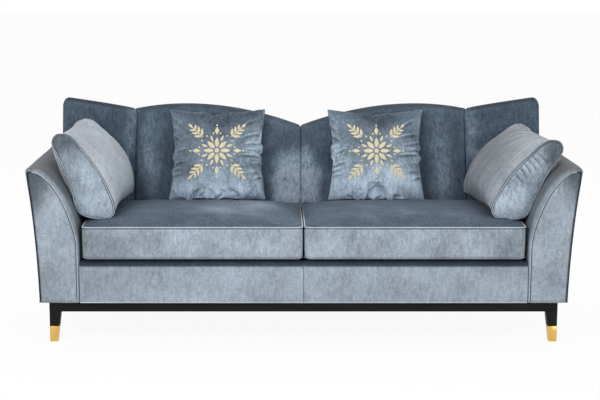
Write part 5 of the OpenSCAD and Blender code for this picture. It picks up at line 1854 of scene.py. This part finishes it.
@dataclass
class Embroidery:
    """A generic rosette of satin-stitched leaves and lozenges, raised on a cushion's face."""

    cushion: ScatterCushion
    carrier: Piece
    rise: float = 0.0011

    def _motifs(self) -> list[tuple[float, ...]]:
        """Lists the motifs.

        Returns:
            Rows of x, y, length, width, angle and fullness: 2 for a disc or bar, 1 a leaf, 0.5 a lozenge.
        """
        rows = [(0.0, 0.0, 0.022, 0.022, 0.0, 2.0)]
        rings = ((8, 0.0, 0.037, 0.046, 0.021, 1.0), (8, 0.5, 0.060, 0.030, 0.012, 1.0),
                 (16, 0.5, 0.080, 0.009, 0.009, 2.0), (4, 0.0, 0.090, 0.040, 0.023, 0.5),
                 (4, 0.0, 0.117, 0.014, 0.011, 0.5), (4, 0.5, 0.124, 0.082, 0.0052, 2.0),
                 (4, 0.5, 0.168, 0.026, 0.013, 1.0))
        for count, shift, reach, length, width, full in rings:
            for angle in (2 * math.pi * (k + shift) / count for k in range(count)):
                rows.append((reach * math.cos(angle), reach * math.sin(angle), length, width, angle, full))
        for slant in (math.pi * (k + 0.5) / 2 for k in range(4)):
            for reach, size in ((0.092, 0.034), (0.113, 0.031), (0.134, 0.026)):
                for leaf in (slant - 0.72, slant + 0.72):
                    rows.append((reach * math.cos(slant) + 0.62 * size * math.cos(leaf),
                                 reach * math.sin(slant) + 0.62 * size * math.sin(leaf),
                                 size, size * 0.42, leaf, 1.0))
        return rows

    def build(self) -> Piece:
        """Lays every motif on the cushion's face.

        Returns:
            The piece.
        """
        bm = bmesh.new()
        bm.from_mesh(self.carrier.data)
        tree = BVHTree.FromBMesh(bm)
        turn = np.array(self.cushion.turn)
        face = Vector(turn @ np.array([0, 0, 1.0]))
        points, faces, uvs = [], [], []
        columns, rows = 11, 7
        for x, y, length, width, angle, full in self._motifs():
            start = len(points)
            c, s = math.cos(angle), math.sin(angle)
            for i in range(columns):
                a = 2 * i / (columns - 1) - 1
                if full >= 2.0:
                    wide = math.sqrt(max(0.0, 1 - a * a)) ** (1.0 if length < 0.05 else 0.2)
                elif full >= 1.0:
                    wide = (1 - a * a) ** 0.9 * (1 - 0.25 * a)
                else:
                    wide = 1 - abs(a)
                wide = max(wide, 0.02)
                for j in range(rows):
                    b = 2 * j / (rows - 1) - 1
                    lx, ly = a * length / 2, b * wide * width / 2
                    flat = turn @ np.array([x + lx * c - ly * s, y + lx * s + ly * c, 0]) + self.cushion.shift
                    origin = Vector(flat) + face * 0.3
                    hit, normal, _, _ = tree.ray_cast(origin, -face)
                    if hit is None:
                        hit, normal = Vector(flat), face
                    dome = self.rise * (1 - b * b) * min(1.0, 2.2 * wide) + 0.0002
                    points.append(np.array(hit + normal * (dome if abs(b) < 1 and abs(a) < 1 else -0.0004)))
                    uvs.append(((x + lx) * 100 if full < 2 else ly * 100, (y + ly) * 100))
            for i in range(columns - 1):
                for j in range(rows - 1):
                    q = start + i * rows + j
                    faces.append((q, q + 1, q + rows + 1, q + rows))
        bm.free()
        return self._shell(points, faces, uvs)

    def _shell(self, points: list[Array], faces: list[tuple[int, ...]],
               uvs: list[tuple[float, float]]) -> Piece:
        """Turns the motifs' sheets into closed shells with stitch coordinates.

        Args:
            points: Points of the sheets.
            faces: Their quads.
            uvs: Stitch coordinates by point.

        Returns:
            The piece.
        """
        name = f"embroidered_rosette_{self.cushion.name}"
        mesh = bpy.data.meshes.new(name)
        mesh.from_pydata([tuple(p) for p in points], [], faces)
        layer = mesh.uv_layers.new(name="Stitch")
        for loop in mesh.loops:
            layer.data[loop.index].uv = uvs[loop.vertex_index]
        for polygon in mesh.polygons:
            polygon.use_smooth = True
        piece = bpy.data.objects.new(name, mesh)
        bpy.context.scene.collection.objects.link(piece)
        mesh.update()
        face = self.cushion.turn @ Vector((0, 0, 1))
        if sum(p.normal.dot(face) for p in mesh.polygons) < 0:
            mesh.flip_normals()
        only(piece)
        bpy.ops.object.modifier_add(type="SOLIDIFY")
        modifier = piece.modifiers[-1]
        modifier.thickness = 0.0006
        modifier.offset = -1.0
        bpy.ops.object.modifier_apply(modifier=modifier.name)
        return piece


@dataclass
class SideCushion:
    """A boxed cushion that leans on an arm, with a teardrop end and drawn-out rear corners."""

    side: int
    wide: float = 0.290
    tall: float = 0.322
    long: float = 0.455
    inner: float = 0.780
    front: float = -0.317
    pipe: float = 0.0023
    # seam: radius of the dark tubes that paint shadow lines beside the piping.
    seam: float = 0.0015
    grid: CushionGrid = field(default_factory=lambda: CushionGrid(22, 50, 44))
    shares: tuple[tuple[float, float], ...] = (
        (0.092, 0.014), (0, 0.093), (0.024, 0.209), (0.085, 0.317), (0.155, 0.419), (0.229, 0.52),
        (0.314, 0.613), (0.405, 0.701), (0.502, 0.785), (0.601, 0.866), (0.702, 0.945), (0.819, 1),
        (0.955, 0.98), (1, 0.879), (0.931, 0.771), (0.858, 0.67), (0.787, 0.568), (0.722, 0.462),
        (0.661, 0.355), (0.61, 0.243), (0.562, 0.131), (0.487, 0.035), (0.359, 0), (0.225, 0))
    corners: tuple[tuple[float, float], ...] = ((0.03, 0.045), (0.52, 0.06), (0.995, 0.90), (0.79, 0.99))

    def __post_init__(self) -> None:
        """Reads the place of the cushion from the frame."""
        self.name = hand(self.side)
        self.low, self.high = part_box(f"side_cushion_cover_{self.name}")
        self.turn = math.radians(9.0 if self.side < 0 else 0.5)
        self.toe = math.radians(2.6 if self.side < 0 else 5.4)
        self.arm = Arm(self.side)

    def _outline(self) -> Array:
        """Draws the teardrop end in x and z, turned, on the right-hand side.

        Returns:
            The rim, anticlockwise from the lower inner corner, with a point at every corner.
        """
        size = np.array([self.wide, self.tall])
        fine = smooth_loop(np.array(self.shares) * size, 960)[::-1]
        marks = [int(np.argmin(np.linalg.norm(fine - np.array(c) * size, axis=1))) for c in self.corners]
        fine = np.roll(fine, -marks[0], axis=0)
        marks = [(m - marks[0]) % 960 for m in marks] + [960]
        fine = np.vstack([fine, fine[:1]])
        counts = (self.grid.across, self.grid.up) * 2
        sides = [resample(fine[marks[k]:marks[k + 1] + 1], count + 1)[:-1] for k, count in enumerate(counts)]
        pivot = size * [0.2, 1 / 6]
        c, s = math.cos(self.turn), math.sin(self.turn)
        return (np.vstack(sides) - pivot) @ np.array([[c, s], [-s, c]]) + pivot

    def _ring(self, outline: Array, share: float) -> Array:
        """Shapes one ring between the front end and the rear one.

        Args:
            outline: The teardrop.
            share: Place along the cushion, 0 in front.

        Returns:
            The ring in x and z.
        """
        n, m = self.grid.across, self.grid.up
        k = np.arange(self.grid.count)
        face = np.sin(math.pi * np.clip((k - 2 * n - m) / m, 0, 1)) ** 0.75
        rear = np.sin(math.pi * np.clip((k - n) / m, 0, 1)) ** 0.7
        run = np.minimum(k, self.grid.count - k) / m
        low = np.exp(-(run / 0.13) ** 2)
        top = np.exp(-(np.abs(k - 2 * n - m) / m / 0.16) ** 2)
        middle = 4 * share * (1 - share)
        out = 0.010 * (1 - math.exp(-share / 0.045)) + 0.032 * (1 - (1 - share) ** 2) + 0.008 * middle
        back = 0.030 * (1 - math.exp(-share / 0.05)) * (1 - 0.6 * share ** 4)
        ring = outline - inward(outline) * (face * out + rear * back)[:, None]
        ring += np.outer(low, [0.014 * middle, 0.008 * middle + 0.016 * share ** 3])
        ring += np.outer(top, [0.002 * middle, 0.018 * share ** 5 - 0.012 * middle])
        return ring

    def form(self) -> Piece:
        """Builds the cushion's mesh before it is puffed up.

        Returns:
            The piece.
        """
        grid = self.grid
        outline = self._outline()
        rings = []
        for k in range(grid.levels + 1):
            share = k / grid.levels
            ring = self._ring(outline, share)
            depth = np.full(len(ring), 0.004 + (self.long - 0.008) * share)
            rings.append(np.column_stack([ring[:, 0], depth, ring[:, 1]]))
        caps = [grid.inner(rings[0]), grid.inner(rings[-1])]
        a = np.linspace(-1, 1, grid.across + 1)[1:-1, None]
        b = np.linspace(-1, 1, grid.up + 1)[None, 1:-1]
        crown = ((1 - a ** 2) * (1 - b ** 4)) ** 0.6
        caps[0][:, :, 1] -= 0.009 * crown
        caps[1][:, :, 1] += 0.006 * crown
        points = self._placed(grid.points(rings, caps))
        return mesh_piece(f"side_cushion_{self.name}", points, grid.faces())

    def _placed(self, points: Array) -> Array:
        """Turns the rear end inward, sets the cushion on its seat and keeps it inside the arm.

        Args:
            points: Points with the cushion's front lower inner corner at the origin.

        Returns:
            The points in their place.
        """
        c, s = math.cos(self.toe), math.sin(self.toe)
        x = self.inner + points[:, 0] * c - points[:, 1] * s
        y = self.front + points[:, 0] * s + points[:, 1] * c
        z = self.low.z + 0.0006 + points[:, 2] - points[:, 2].min()
        wall = self.arm.inner_x(z) - 0.004
        x = np.where(x > wall, wall + 0.0005 * np.tanh((x - wall) / 0.01), x)
        return np.column_stack([self.side * x, y, z])

    def _behind(self, x: Array | float, y: Array | float) -> Array | float:
        """Gives how far a place lies behind the toed-in front end, in metres."""
        return y - self.front - (np.abs(x) - self.inner) * math.sin(self.toe)

    def gather(self, points: Array, seam: Array) -> tuple[Array, Array]:
        """Pushes pleats into the end panel and gathers into the broad face's upper edge, and paints their
        light and shade.

        Args:
            points: The cushion's points.
            seam: The front seam, from its lower inner corner round.

        Returns:
            The moved points, and the painted light and shade at each one.
        """
        inner = resample(seam[2 * self.grid.across + self.grid.up:][:, [0, 2]], 160)
        away = np.linalg.norm(points[:, None, [0, 2]] - inner[None], axis=2)
        near, t = away.min(axis=1), away.argmin(axis=1) / 159
        jitter = np.array([noise.noise(Vector((x * 9, 3.0 + self.side, z * 9))) for x, _, z in points])
        end = self._behind(points[:, 0], points[:, 1]) < 0.010
        ridge, crease = (np.clip(np.cos((t * 15.5 + jitter * 1.1 + late) * 2 * math.pi), 0, 1) ** 3
                         for late in (0, 0.27))
        mask = ramp(near, 0.004, 0.008) * np.clip((0.062 + 0.06 * jitter - near) / 0.02, 0, 1)
        mask *= ramp(t, 0.10, 0.08) * ramp(t, 0.62, -0.1) * end * (self.side > 0)
        moved = points.copy()
        moved[:, 1] -= (0.0042 * ridge - 0.0022 * crease) * mask
        broad = ~end & (t < 0.98) & (points[:, 1] < self.high.y - 0.01)
        depth = (points[:, 1] - self.front) / self.long
        run = ramp(t, 0.30, -0.25) * ramp(depth, 0, 0.1) * ramp(depth, 1, -0.1) * broad
        fold = np.cos((depth * 13 + t * 5 + jitter * 0.9) * 2 * math.pi)
        moved[:, 2] += 0.0016 * fold * run
        moved[:, 0] -= self.side * 0.0010 * fold * run
        streak = np.array([noise.noise(Vector((d * 16, a * 2.2, 7.0 + self.side))) for d, a in zip(depth, t)])
        # Painted light and shade on the broad face: lighter in front, darker towards the rear, with streaks;
        # highlights on the pleats' ridges, shade in their creases.
        level, rear_shade, strong = (0.22, 0.42, 0.45) if self.side > 0 else (0.03, 0.06, 0.12)
        tone = (0.75 * ridge - 1.1 * crease) * mask + 0.25 * fold * run
        return moved, tone + broad * (level - ramp(depth, 0.06, 0.5) * rear_shade + strong * streak)

    def build(self) -> None:
        """Builds, puffs up and dresses the cushion."""
        grid, piece = self.grid, self.form()
        first, last = grid.rim(0), grid.rim(grid.levels)
        held = [*range(first.start, first.stop), *range(last.start, last.stop)]
        cloth = ClothRun(pressure=2.2, frames=18, slack=0.02, stiff=10.0, bending=0.25)
        points = cloth.puff(piece, held, 0.008)
        wall = self.arm.inner_x(points[:, 2]) - 0.002
        points[:, 0] = np.clip(points[:, 0], -wall, wall)
        points[:, 2] = np.maximum(points[:, 2], self.low.z + 0.0003)
        set_points(piece, points)
        loops = [points[first].copy(), points[last].copy()]
        subdivide(piece)
        points, tone = self.gather(get_points(piece), loops[0])
        set_points(piece, points)
        store_painted_shade(piece, tone)
        undulate(piece, 0.0014, (9.0, 9.0, 9.0), 31.0 + 2.3 * self.side)
        body = f"side_cushion_{self.name}"
        nodes = (f"side_cushion_cover_{self.name}", f"side_cushion_filling_{self.name}")
        dress(piece, Finish.SIDE_FACE, *nodes, body=body, fill=0.75)
        # The end panels take the darker copy of the velvet, painted shade.
        piece.data.materials.append(Finish.SIDE_END.material())
        facing = Vector((self.side * math.sin(self.toe), -math.cos(self.toe), 0))
        for polygon in piece.data.polygons:
            share = self._behind(polygon.center.x, polygon.center.y) / self.long
            if abs(polygon.normal.dot(facing)) > 0.72 and (share < 0.022 or share > 0.978):
                polygon.material_index = 1
        tubes, lines = [], []
        for k, (loop, ahead) in enumerate(zip(loops, (-0.0012, 0.0012))):
            path = loop + [0, ahead, 0]
            path[:, 2] = np.maximum(path[:, 2], self.low.z + self.pipe)
            tubes.append(tube(f"side_pipe_{k}", path, self.pipe, True))
            flat = inward(loop[:, [0, 2]])
            # Thin dark tubes beside each piping, painted shadow lines.
            for away, share in ((-0.0030, -0.4), (0.0034, 1.2)):
                beside = [flat[:, 0] * away, np.full(len(loop), ahead * share), flat[:, 1] * away]
                line = loop + np.column_stack(beside)
                line[:, 2] = np.maximum(line[:, 2], self.low.z + 0.0012)
                lines.append(tube(f"side_line_{k}_{away}", line, self.seam, True, 6))
        dress(join(f"side_cushion_piping_{self.name}", tubes), Finish.SIDE_PIPING, body=body)
        dress(join(f"side_cushion_seam_{self.name}", lines), Finish.DARK_PIPING, body=body)


# Plinth and legs


def cube_between(name: str, low: Sequence[float], high: Sequence[float]) -> Piece:
    """Adds a block between two corners, ready to be shaped.

    Args:
        name: Name of the piece.
        low: Its lowest corner.
        high: Its highest corner.

    Returns:
        The object, alone selected, with its place in its mesh.
    """
    bpy.ops.object.select_all(action="DESELECT")
    middle = [(a + b) / 2 for a, b in zip(low, high)]
    bpy.ops.mesh.primitive_cube_add(size=1.0, location=middle)
    block = bpy.context.active_object
    block.name = block.data.name = name
    block.scale = [b - a for a, b in zip(low, high)]
    bpy.ops.object.transform_apply(location=True, rotation=True, scale=True)
    return block


def pick_faces(piece: Piece, up: int) -> None:
    """Selects the faces that look straight up or down.

    Args:
        piece: The object.
        up: 1 for up, -1 for down.
    """
    bpy.ops.object.mode_set(mode="EDIT")
    bpy.ops.mesh.select_all(action="DESELECT")
    bpy.ops.mesh.select_mode(type="FACE")
    bpy.ops.object.mode_set(mode="OBJECT")
    for face in piece.data.polygons:
        face.select = face.normal.z * up > 0.5


def bevel_edges(piece: Piece, width: float, segments: int = 3) -> None:
    """Rounds every edge of a piece.

    Args:
        piece: The object.
        width: Width of the rounding.
        segments: Faces across it.
    """
    only(piece)
    bpy.ops.object.mode_set(mode="EDIT")
    bpy.ops.mesh.select_mode(type="EDGE")
    bpy.ops.mesh.select_all(action="SELECT")
    bpy.ops.mesh.bevel(offset=width, segments=segments, affect="EDGES", clamp_overlap=True)
    bpy.ops.object.mode_set(mode="OBJECT")
    bpy.ops.object.shade_smooth_by_angle(angle=math.radians(40))


@dataclass
class Plinth:
    """The dark plinth with its arrises taken off and a small rebate under its lower edge."""

    arris: float = 0.0018
    rebate: float = 0.0025

    def rail(self, node: str, name: str, finish: Finish, low: Sequence[float], high: Sequence[float]) -> None:
        """Builds one rail.

        Args:
            node: CAD node that it stands for.
            name: Name of the piece.
            finish: Its wood.
            low: Its lowest corner.
            high: Its highest corner.
        """
        block = cube_between(name, low, high)
        pick_faces(block, -1)
        bpy.ops.object.mode_set(mode="EDIT")
        bpy.ops.mesh.inset(thickness=self.rebate, depth=0)
        bpy.ops.mesh.extrude_region_move(TRANSFORM_OT_translate={"value": (0, 0, self.rebate)})
        bpy.ops.object.mode_set(mode="OBJECT")
        bevel_edges(block, self.arris)
        dress(block, finish, node)

    def build(self) -> None:
        """Builds the four rails."""
        for node in ("plinth_front_rail", "plinth_rear_rail"):
            self.rail(node, node + "_board", Finish.WOOD_ACROSS, *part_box(node))
        low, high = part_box("plinth_side_rails")
        front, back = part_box("plinth_front_rail")
        inner = high.x - (back.y - front.y)
        for side in (-1, 1):
            xs = sorted((side * inner, side * high.x))
            self.rail("plinth_side_rails", f"plinth_side_board_{hand(side)}", Finish.WOOD_DEEP,
                      (xs[0], low.y, low.z), (xs[1], high.y, high.z))


@dataclass
class Leg:
    """A leg that tapers on its two inner sides, and its brass cap."""

    end: str
    hand: str
    cap_h: float = 0.067
    foot_w: float = 0.032
    top_w: float = 0.046
    proud: float = 0.0015

    def __post_init__(self) -> None:
        """Reads the leg's corner from the frame."""
        self.tag = f"{self.end}_{self.hand}"
        self.node = f"leg_{self.tag}"
        self.cap_node = f"leg_cap_{self.tag}"
        low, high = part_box(self.node)
        self.x_way = 1 if self.hand == "left" else -1
        self.y_way = 1 if self.end == "front" else -1
        self.corner = (low.x if self.x_way > 0 else high.x, low.y if self.y_way > 0 else high.y)
        self.top = high.z

    def _width(self, z: float) -> float:
        """Gives the leg's width at a height."""
        return self.foot_w + (self.top_w - self.foot_w) * z / self.top

    def _block(self, name: str, z0: float, z1: float, inset: float) -> Piece:
        """Builds a tapering block between two heights.

        Args:
            name: Name of the piece.
            z0: Lower height.
            z1: Upper height.
            inset: Distance inside the leg's faces.

        Returns:
            The piece.
        """
        wide = self._width(z1)
        x0, y0 = self.corner
        x1, y1 = x0 + self.x_way * wide, y0 + self.y_way * wide
        low = (min(x0, x1) + inset, min(y0, y1) + inset, z0)
        high = (max(x0, x1) - inset, max(y0, y1) - inset, z1)
        block = cube_between(name, low, high)
        pick_faces(block, -1)
        share = (self._width(z0) - 2 * inset) / (wide - 2 * inset)
        bpy.ops.object.mode_set(mode="EDIT")
        pivot = (x0 + self.x_way * inset, y0 + self.y_way * inset, z0)
        bpy.ops.transform.resize(value=(share, share, 1), center_override=pivot)
        bpy.ops.object.mode_set(mode="OBJECT")
        return block

    def build(self) -> None:
        """Builds and dresses the leg and its cap."""
        upper = self._block(f"leg_post_{self.tag}", self.cap_h + 0.0002, self.top, 0.0)
        bevel_edges(upper, 0.0016)
        lower = self._block(f"leg_tenon_{self.tag}", self.proud + 0.002, self.cap_h + 0.004, 0.0022)
        bevel_edges(lower, 0.0008, 2)
        leg = join(f"leg_wood_{self.tag}", [upper, lower])
        dress(leg, Finish.WOOD_UPRIGHT, self.node)
        cap = self._block(f"leg_cap_brass_{self.tag}", self.proud, self.cap_h, -0.0002)
        pick_faces(cap, 1)
        bpy.ops.object.mode_set(mode="EDIT")
        bpy.ops.mesh.inset(thickness=0.0014, depth=0)
        bpy.ops.mesh.extrude_region_move(TRANSFORM_OT_translate={"value": (0, 0, -0.004)})
        bpy.ops.object.mode_set(mode="OBJECT")
        bevel_edges(cap, 0.0007, 2)
        dress(cap, Finish.BRASS, self.cap_node)


# Carried-over nodes


@dataclass
class Linings:
    """The cloths and the foam slab that the frame holds: dust cover, deck cover, deck pad and webbing."""

    thick: float = 0.0010
    sag: float = 0.0030
    block: float = 0.070
    reach: float = 1.0226
    front: float = -0.3646
    rear: float = 0.2752
    flap_reach: float = 1.0640
    flap_front: float = 0.3022
    flap_rear: tuple[tuple[float, float], ...] = ((0.0, 0.3735), (0.7637, 0.3735), (1.0640, 0.3210))
    flap_flat: tuple[float, float] = (2.128, 0.0713)
    flap_area: float = 0.140
    strap_reach: float = 0.723
    strap_feet: tuple[float, float] = (0.389, 0.626)
    strap_thick: float = 0.0014
    strap_edge: tuple[tuple[float, float], ...] = (
        (0.0, 0.0006), (0.002, 0.0001), (0.0125, 0.0), (0.025, 0.0), (0.0375, 0.0), (0.048, 0.0001),
        (0.050, 0.0006))
    posts: float = 0.3500
    posts_lean: float = 0.0523

    def cloth(self, name: str, xs: Array, ys: Array, top: float, inside: Callable[[float, float], bool],
              dip: Callable[[Array, Array], Array]) -> Piece:
        """Lays a thin cloth over the cells of a grid.

        Args:
            name: Name of the piece.
            xs: Grid lines across.
            ys: Grid lines front to back.
            top: Height of the cloth's upper side.
            inside: Says whether a cell, given by its middle, belongs to the cloth.
            dip: How far the cloth hangs at a place.

        Returns:
            The piece.
        """
        grid_x, grid_y = np.meshgrid(xs, ys, indexing="ij")
        upper = np.stack([grid_x, grid_y, top - dip(grid_x, grid_y)], axis=2).reshape(-1, 3)
        points = np.concatenate([upper, upper - [0, 0, self.thick]])
        size, wide = len(upper), len(ys)
        faces: list[Sequence[int]] = []
        rim: set[tuple[int, int]] = set()
        for i in range(len(xs) - 1):
            for j in range(wide - 1):
                if not inside((xs[i] + xs[i + 1]) / 2, (ys[j] + ys[j + 1]) / 2):
                    continue
                a = i * wide + j
                quad = (a, a + wide, a + wide + 1, a + 1)
                faces += [quad, tuple(size + k for k in quad[::-1])]
                for pair in zip(quad, quad[1:] + quad[:1]):
                    rim ^= {pair[::-1] if pair[::-1] in rim else pair}
        faces += [(b, a, size + a, size + b) for a, b in sorted(rim)]
        used = sorted({k for face in faces for k in face})
        place = {old: new for new, old in enumerate(used)}
        return mesh_piece(name, points[used], [[place[k] for k in face] for face in faces])

    def dust_cover(self) -> None:
        """Tacks the black cloth under the frame, cut out round the corner blocks."""
        x, y0, y1, block = self.reach, self.front, self.rear, self.block
        inner = x - block
        corner = np.linspace(inner, x, 5)
        xs = np.unique(np.concatenate([np.linspace(-inner, inner, 56), corner, np.linspace(-x, -inner, 5)]))
        ys = np.unique(np.concatenate([[y0], np.linspace(y0 + block, y1 - block, 22), [y1]]))
        piece = self.cloth("dust_cloth", xs, ys, SIZES.base,
                           lambda a, b: abs(a) < inner or y0 + block < b < y1 - block,
                           lambda a, b: self.sag * ramp(np.abs(a), inner, -0.06) * ramp(b, y0, 0.1)
                           * ramp(b, y1, -0.1) * (0.6 + 0.4 * np.cos(a * 19)))
        dress(piece, Finish.BLACK_CLOTH, "dust_cover")

    def dust_flap(self) -> None:
        """Tacks the narrow cloth behind the rear rail's foot."""
        at, depths = zip(*self.flap_rear)
        rings = []
        for x in np.linspace(-self.flap_reach, self.flap_reach, 73):
            ys = np.linspace(self.flap_front, np.interp(abs(x), at, depths), 5)
            upper = np.column_stack([np.full(5, x), ys, np.full(5, SIZES.base - 0.0001)])
            rings.append(np.vstack([upper, upper[::-1] - [0, 0, self.thick]]))
        flap = dress(ring_piece("dust_cloth_rear", rings), Finish.BLACK_CLOTH)

    def deck(self) -> None:
        """Builds the foam slab on the springs and the cloth over it."""
        slab = cube_between("deck_foam", *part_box("deck_pad"))
        bevel_edges(slab, 0.004)
        dress(slab, Finish.FOAM, "deck_pad", fill=1.0)
        low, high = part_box("deck_cover")
        xs, ys = np.linspace(low.x, high.x, 120), np.linspace(low.y, high.y, 32)
        cloth = self.cloth("deck_cloth", xs, ys, high.z - 0.0002, lambda a, b: True,
                           lambda a, b: 0.0008 * (0.5 + 0.5 * np.cos(a * 27)))
        dress(cloth, Finish.BLACK_CLOTH, "deck_cover")

    def webbing(self) -> None:
        """Builds the five elastic straps in front of the back posts."""
        straps = []
        rise, curl = np.array(self.strap_edge).T
        for i, foot in enumerate(np.linspace(*self.strap_feet, 5)):
            up = foot + rise
            front = self.posts + self.posts_lean * (up - self.strap_feet[0]) + curl
            rear = front[::-1] + self.strap_thick
            ring = np.column_stack([np.append(front, rear), np.append(up, up[::-1])])
            straps.append(ring_piece(f"strap_{i}", [
                np.column_stack([np.full(len(ring), x), ring])
                for x in np.linspace(-self.strap_reach, self.strap_reach, 61)]))
        dress(join("back_straps", straps), Finish.BLACK_CLOTH, "back_webbing")

    def build(self) -> None:
        """Builds them all."""
        self.dust_cover()
        self.dust_flap()
        self.deck()
        self.webbing()


@dataclass
class InnerFrame:
    """The CAD nodes that stay: they only get their finishes."""

    finishes: Mapping[Finish, tuple[str, ...]] = field(default_factory=lambda: {
        Finish.RAW_WOOD: ("plinth_corner_blocks", "seat_frame", "arm_frame", "back_posts", "back_top_rail",
                          "wing_frames"),
        Finish.STEEL: ("leg_bolts", "plinth_screws", "seat_springs", "spring_clips"),
        Finish.GLIDE: ("floor_glides",),
        Finish.FOAM: ("seat_cushion_core", "scatter_cushion_filling", "side_cushion_filling")})

    def build(self, nodes: Mapping[str, Piece]) -> None:
        """Dresses the nodes.

        Args:
            nodes: The frame's nodes by name.
        """
        for finish, starts in self.finishes.items():
            for name in (n for n in nodes if n.startswith(starts)):
                nodes[name].data.materials.clear()
                nodes[name].data.materials.append(finish.material())
                LOG.info("%s: %s", name, finish.value.name)


# Studio


@dataclass
class Studio:
    """Pale floor, soft lights and the camera."""

    distance: float = 5.913
    height: float = 1.598
    aside: float = -0.130
    shift: float = 0.0467
    tilt: float = math.radians(79.73)
    lens: float = 82.76
    sensor: float = 36.0
    light: float = 0.62
    glow: float = 0.93

    def floor(self) -> None:
        """Lays the floor, which keeps the sofa's shadow and looks white to the camera."""
        bpy.ops.object.select_all(action="DESELECT")
        bpy.ops.mesh.primitive_plane_add(size=60.0, location=(0, 0, 0))
        floor = bpy.context.active_object
        floor.name = "studio_floor"
        s = Shader("studio_floor")
        tone = s.cloud(s.place(), 2.0, 2.0)
        s.finish(Base_Color=s.mix(tone, (0.93, 0.93, 0.935, 1), (0.96, 0.96, 0.96, 1)), Roughness=0.7,
                 Specular_IOR_Level=0.1)
        glow = s.node("ShaderNodeEmission", {}, {"Color": (1, 1, 1, 1), "Strength": 1.0})
        seen = s.node("ShaderNodeLightPath", output="Is Camera Ray")
        shine = s.node("ShaderNodeLightPath", output="Is Glossy Ray")
        mixed = s.node("ShaderNodeMixShader", {}, {
            0: seen * self.glow + shine * self.glow, 1: Sock(s, s.surface.outputs[0]), 2: glow})
        s.tree.links.new(mixed.out, s.output.inputs[0])
        floor.data.materials.append(s.material)

    def world(self) -> None:
        """Surrounds the scene with a white backdrop and plain light."""
        bpy.context.scene.world = bpy.data.worlds.new("studio")
        s = Shader("studio", bpy.context.scene.world)
        plain, white = (s.node("ShaderNodeBackground", {}, {0: (1, 1, 1, 1), 1: power})
                        for power in (self.light, 1.0))
        camera, gloss, glass = (s.node("ShaderNodeLightPath", output=f"Is {ray} Ray")
                                for ray in ("Camera", "Glossy", "Transmission"))
        seen = camera.at_least(gloss).at_least(glass)
        mixed = s.node("ShaderNodeMixShader", {}, {0: seen, 1: plain, 2: white})
        s.tree.links.new(mixed.out, s.output.inputs[0])

    def lamp(self, name: str, place: Sequence[float], aim: Sequence[float], size: float,
             watts: float) -> None:
        """Hangs one soft light.

        Args:
            name: Name of the light.
            place: Where it hangs.
            aim: What it points at.
            size: Side of its square.
            watts: Its power.
        """
        bpy.ops.object.light_add(type="AREA", location=place)
        lamp = bpy.context.active_object
        lamp.name = name
        lamp.data.size = size
        lamp.data.energy = watts
        way = Vector(aim) - Vector(place)
        lamp.rotation_euler = way.to_track_quat("-Z", "Y").to_euler()

    def build(self) -> None:
        """Builds floor, world, lights and camera."""
        self.floor()
        self.world()
        self.lamp("key_light", (-2.6, -4.2, 3.4), (0, 0, 0.5), 2.4, 130)
        self.lamp("fill_light", (3.2, -4.0, 2.2), (0, 0, 0.5), 3.0, 60)
        self.lamp("rim_light", (0.5, 2.6, 3.4), (0, 0, 0.7), 2.5, 50)
        bpy.ops.object.camera_add(location=(self.aside, -self.distance, self.height),
                                  rotation=(self.tilt, 0, 0))
        camera = bpy.context.active_object
        camera.name = "photo_camera"
        camera.data.sensor_fit = "HORIZONTAL"
        camera.data.sensor_width = self.sensor
        camera.data.lens = self.lens
        camera.data.shift_x = self.shift
        bpy.context.scene.camera = camera
        bpy.context.scene.view_settings.view_transform = "Standard"


# The whole


def main() -> None:
    """Builds the sofa piece by piece."""
    logging.basicConfig(level=logging.INFO, format="%(message)s")
    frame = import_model()
    Studio().build()
    InnerFrame().build(frame["nodes"])
    Linings().build()
    Plinth().build()
    for end in ("front", "rear"):
        for hand in ("left", "right"):
            Leg(end, hand).build()
    for side in (-1, 1):
        Arm(side).build()
    Back().build()
    FrontBorder().build()
    for side in (-1, 1):
        SeatCushion(side).build()
        ScatterCushion(side).build()
        SideCushion(side).build()


if __name__ == "__main__":
    main()
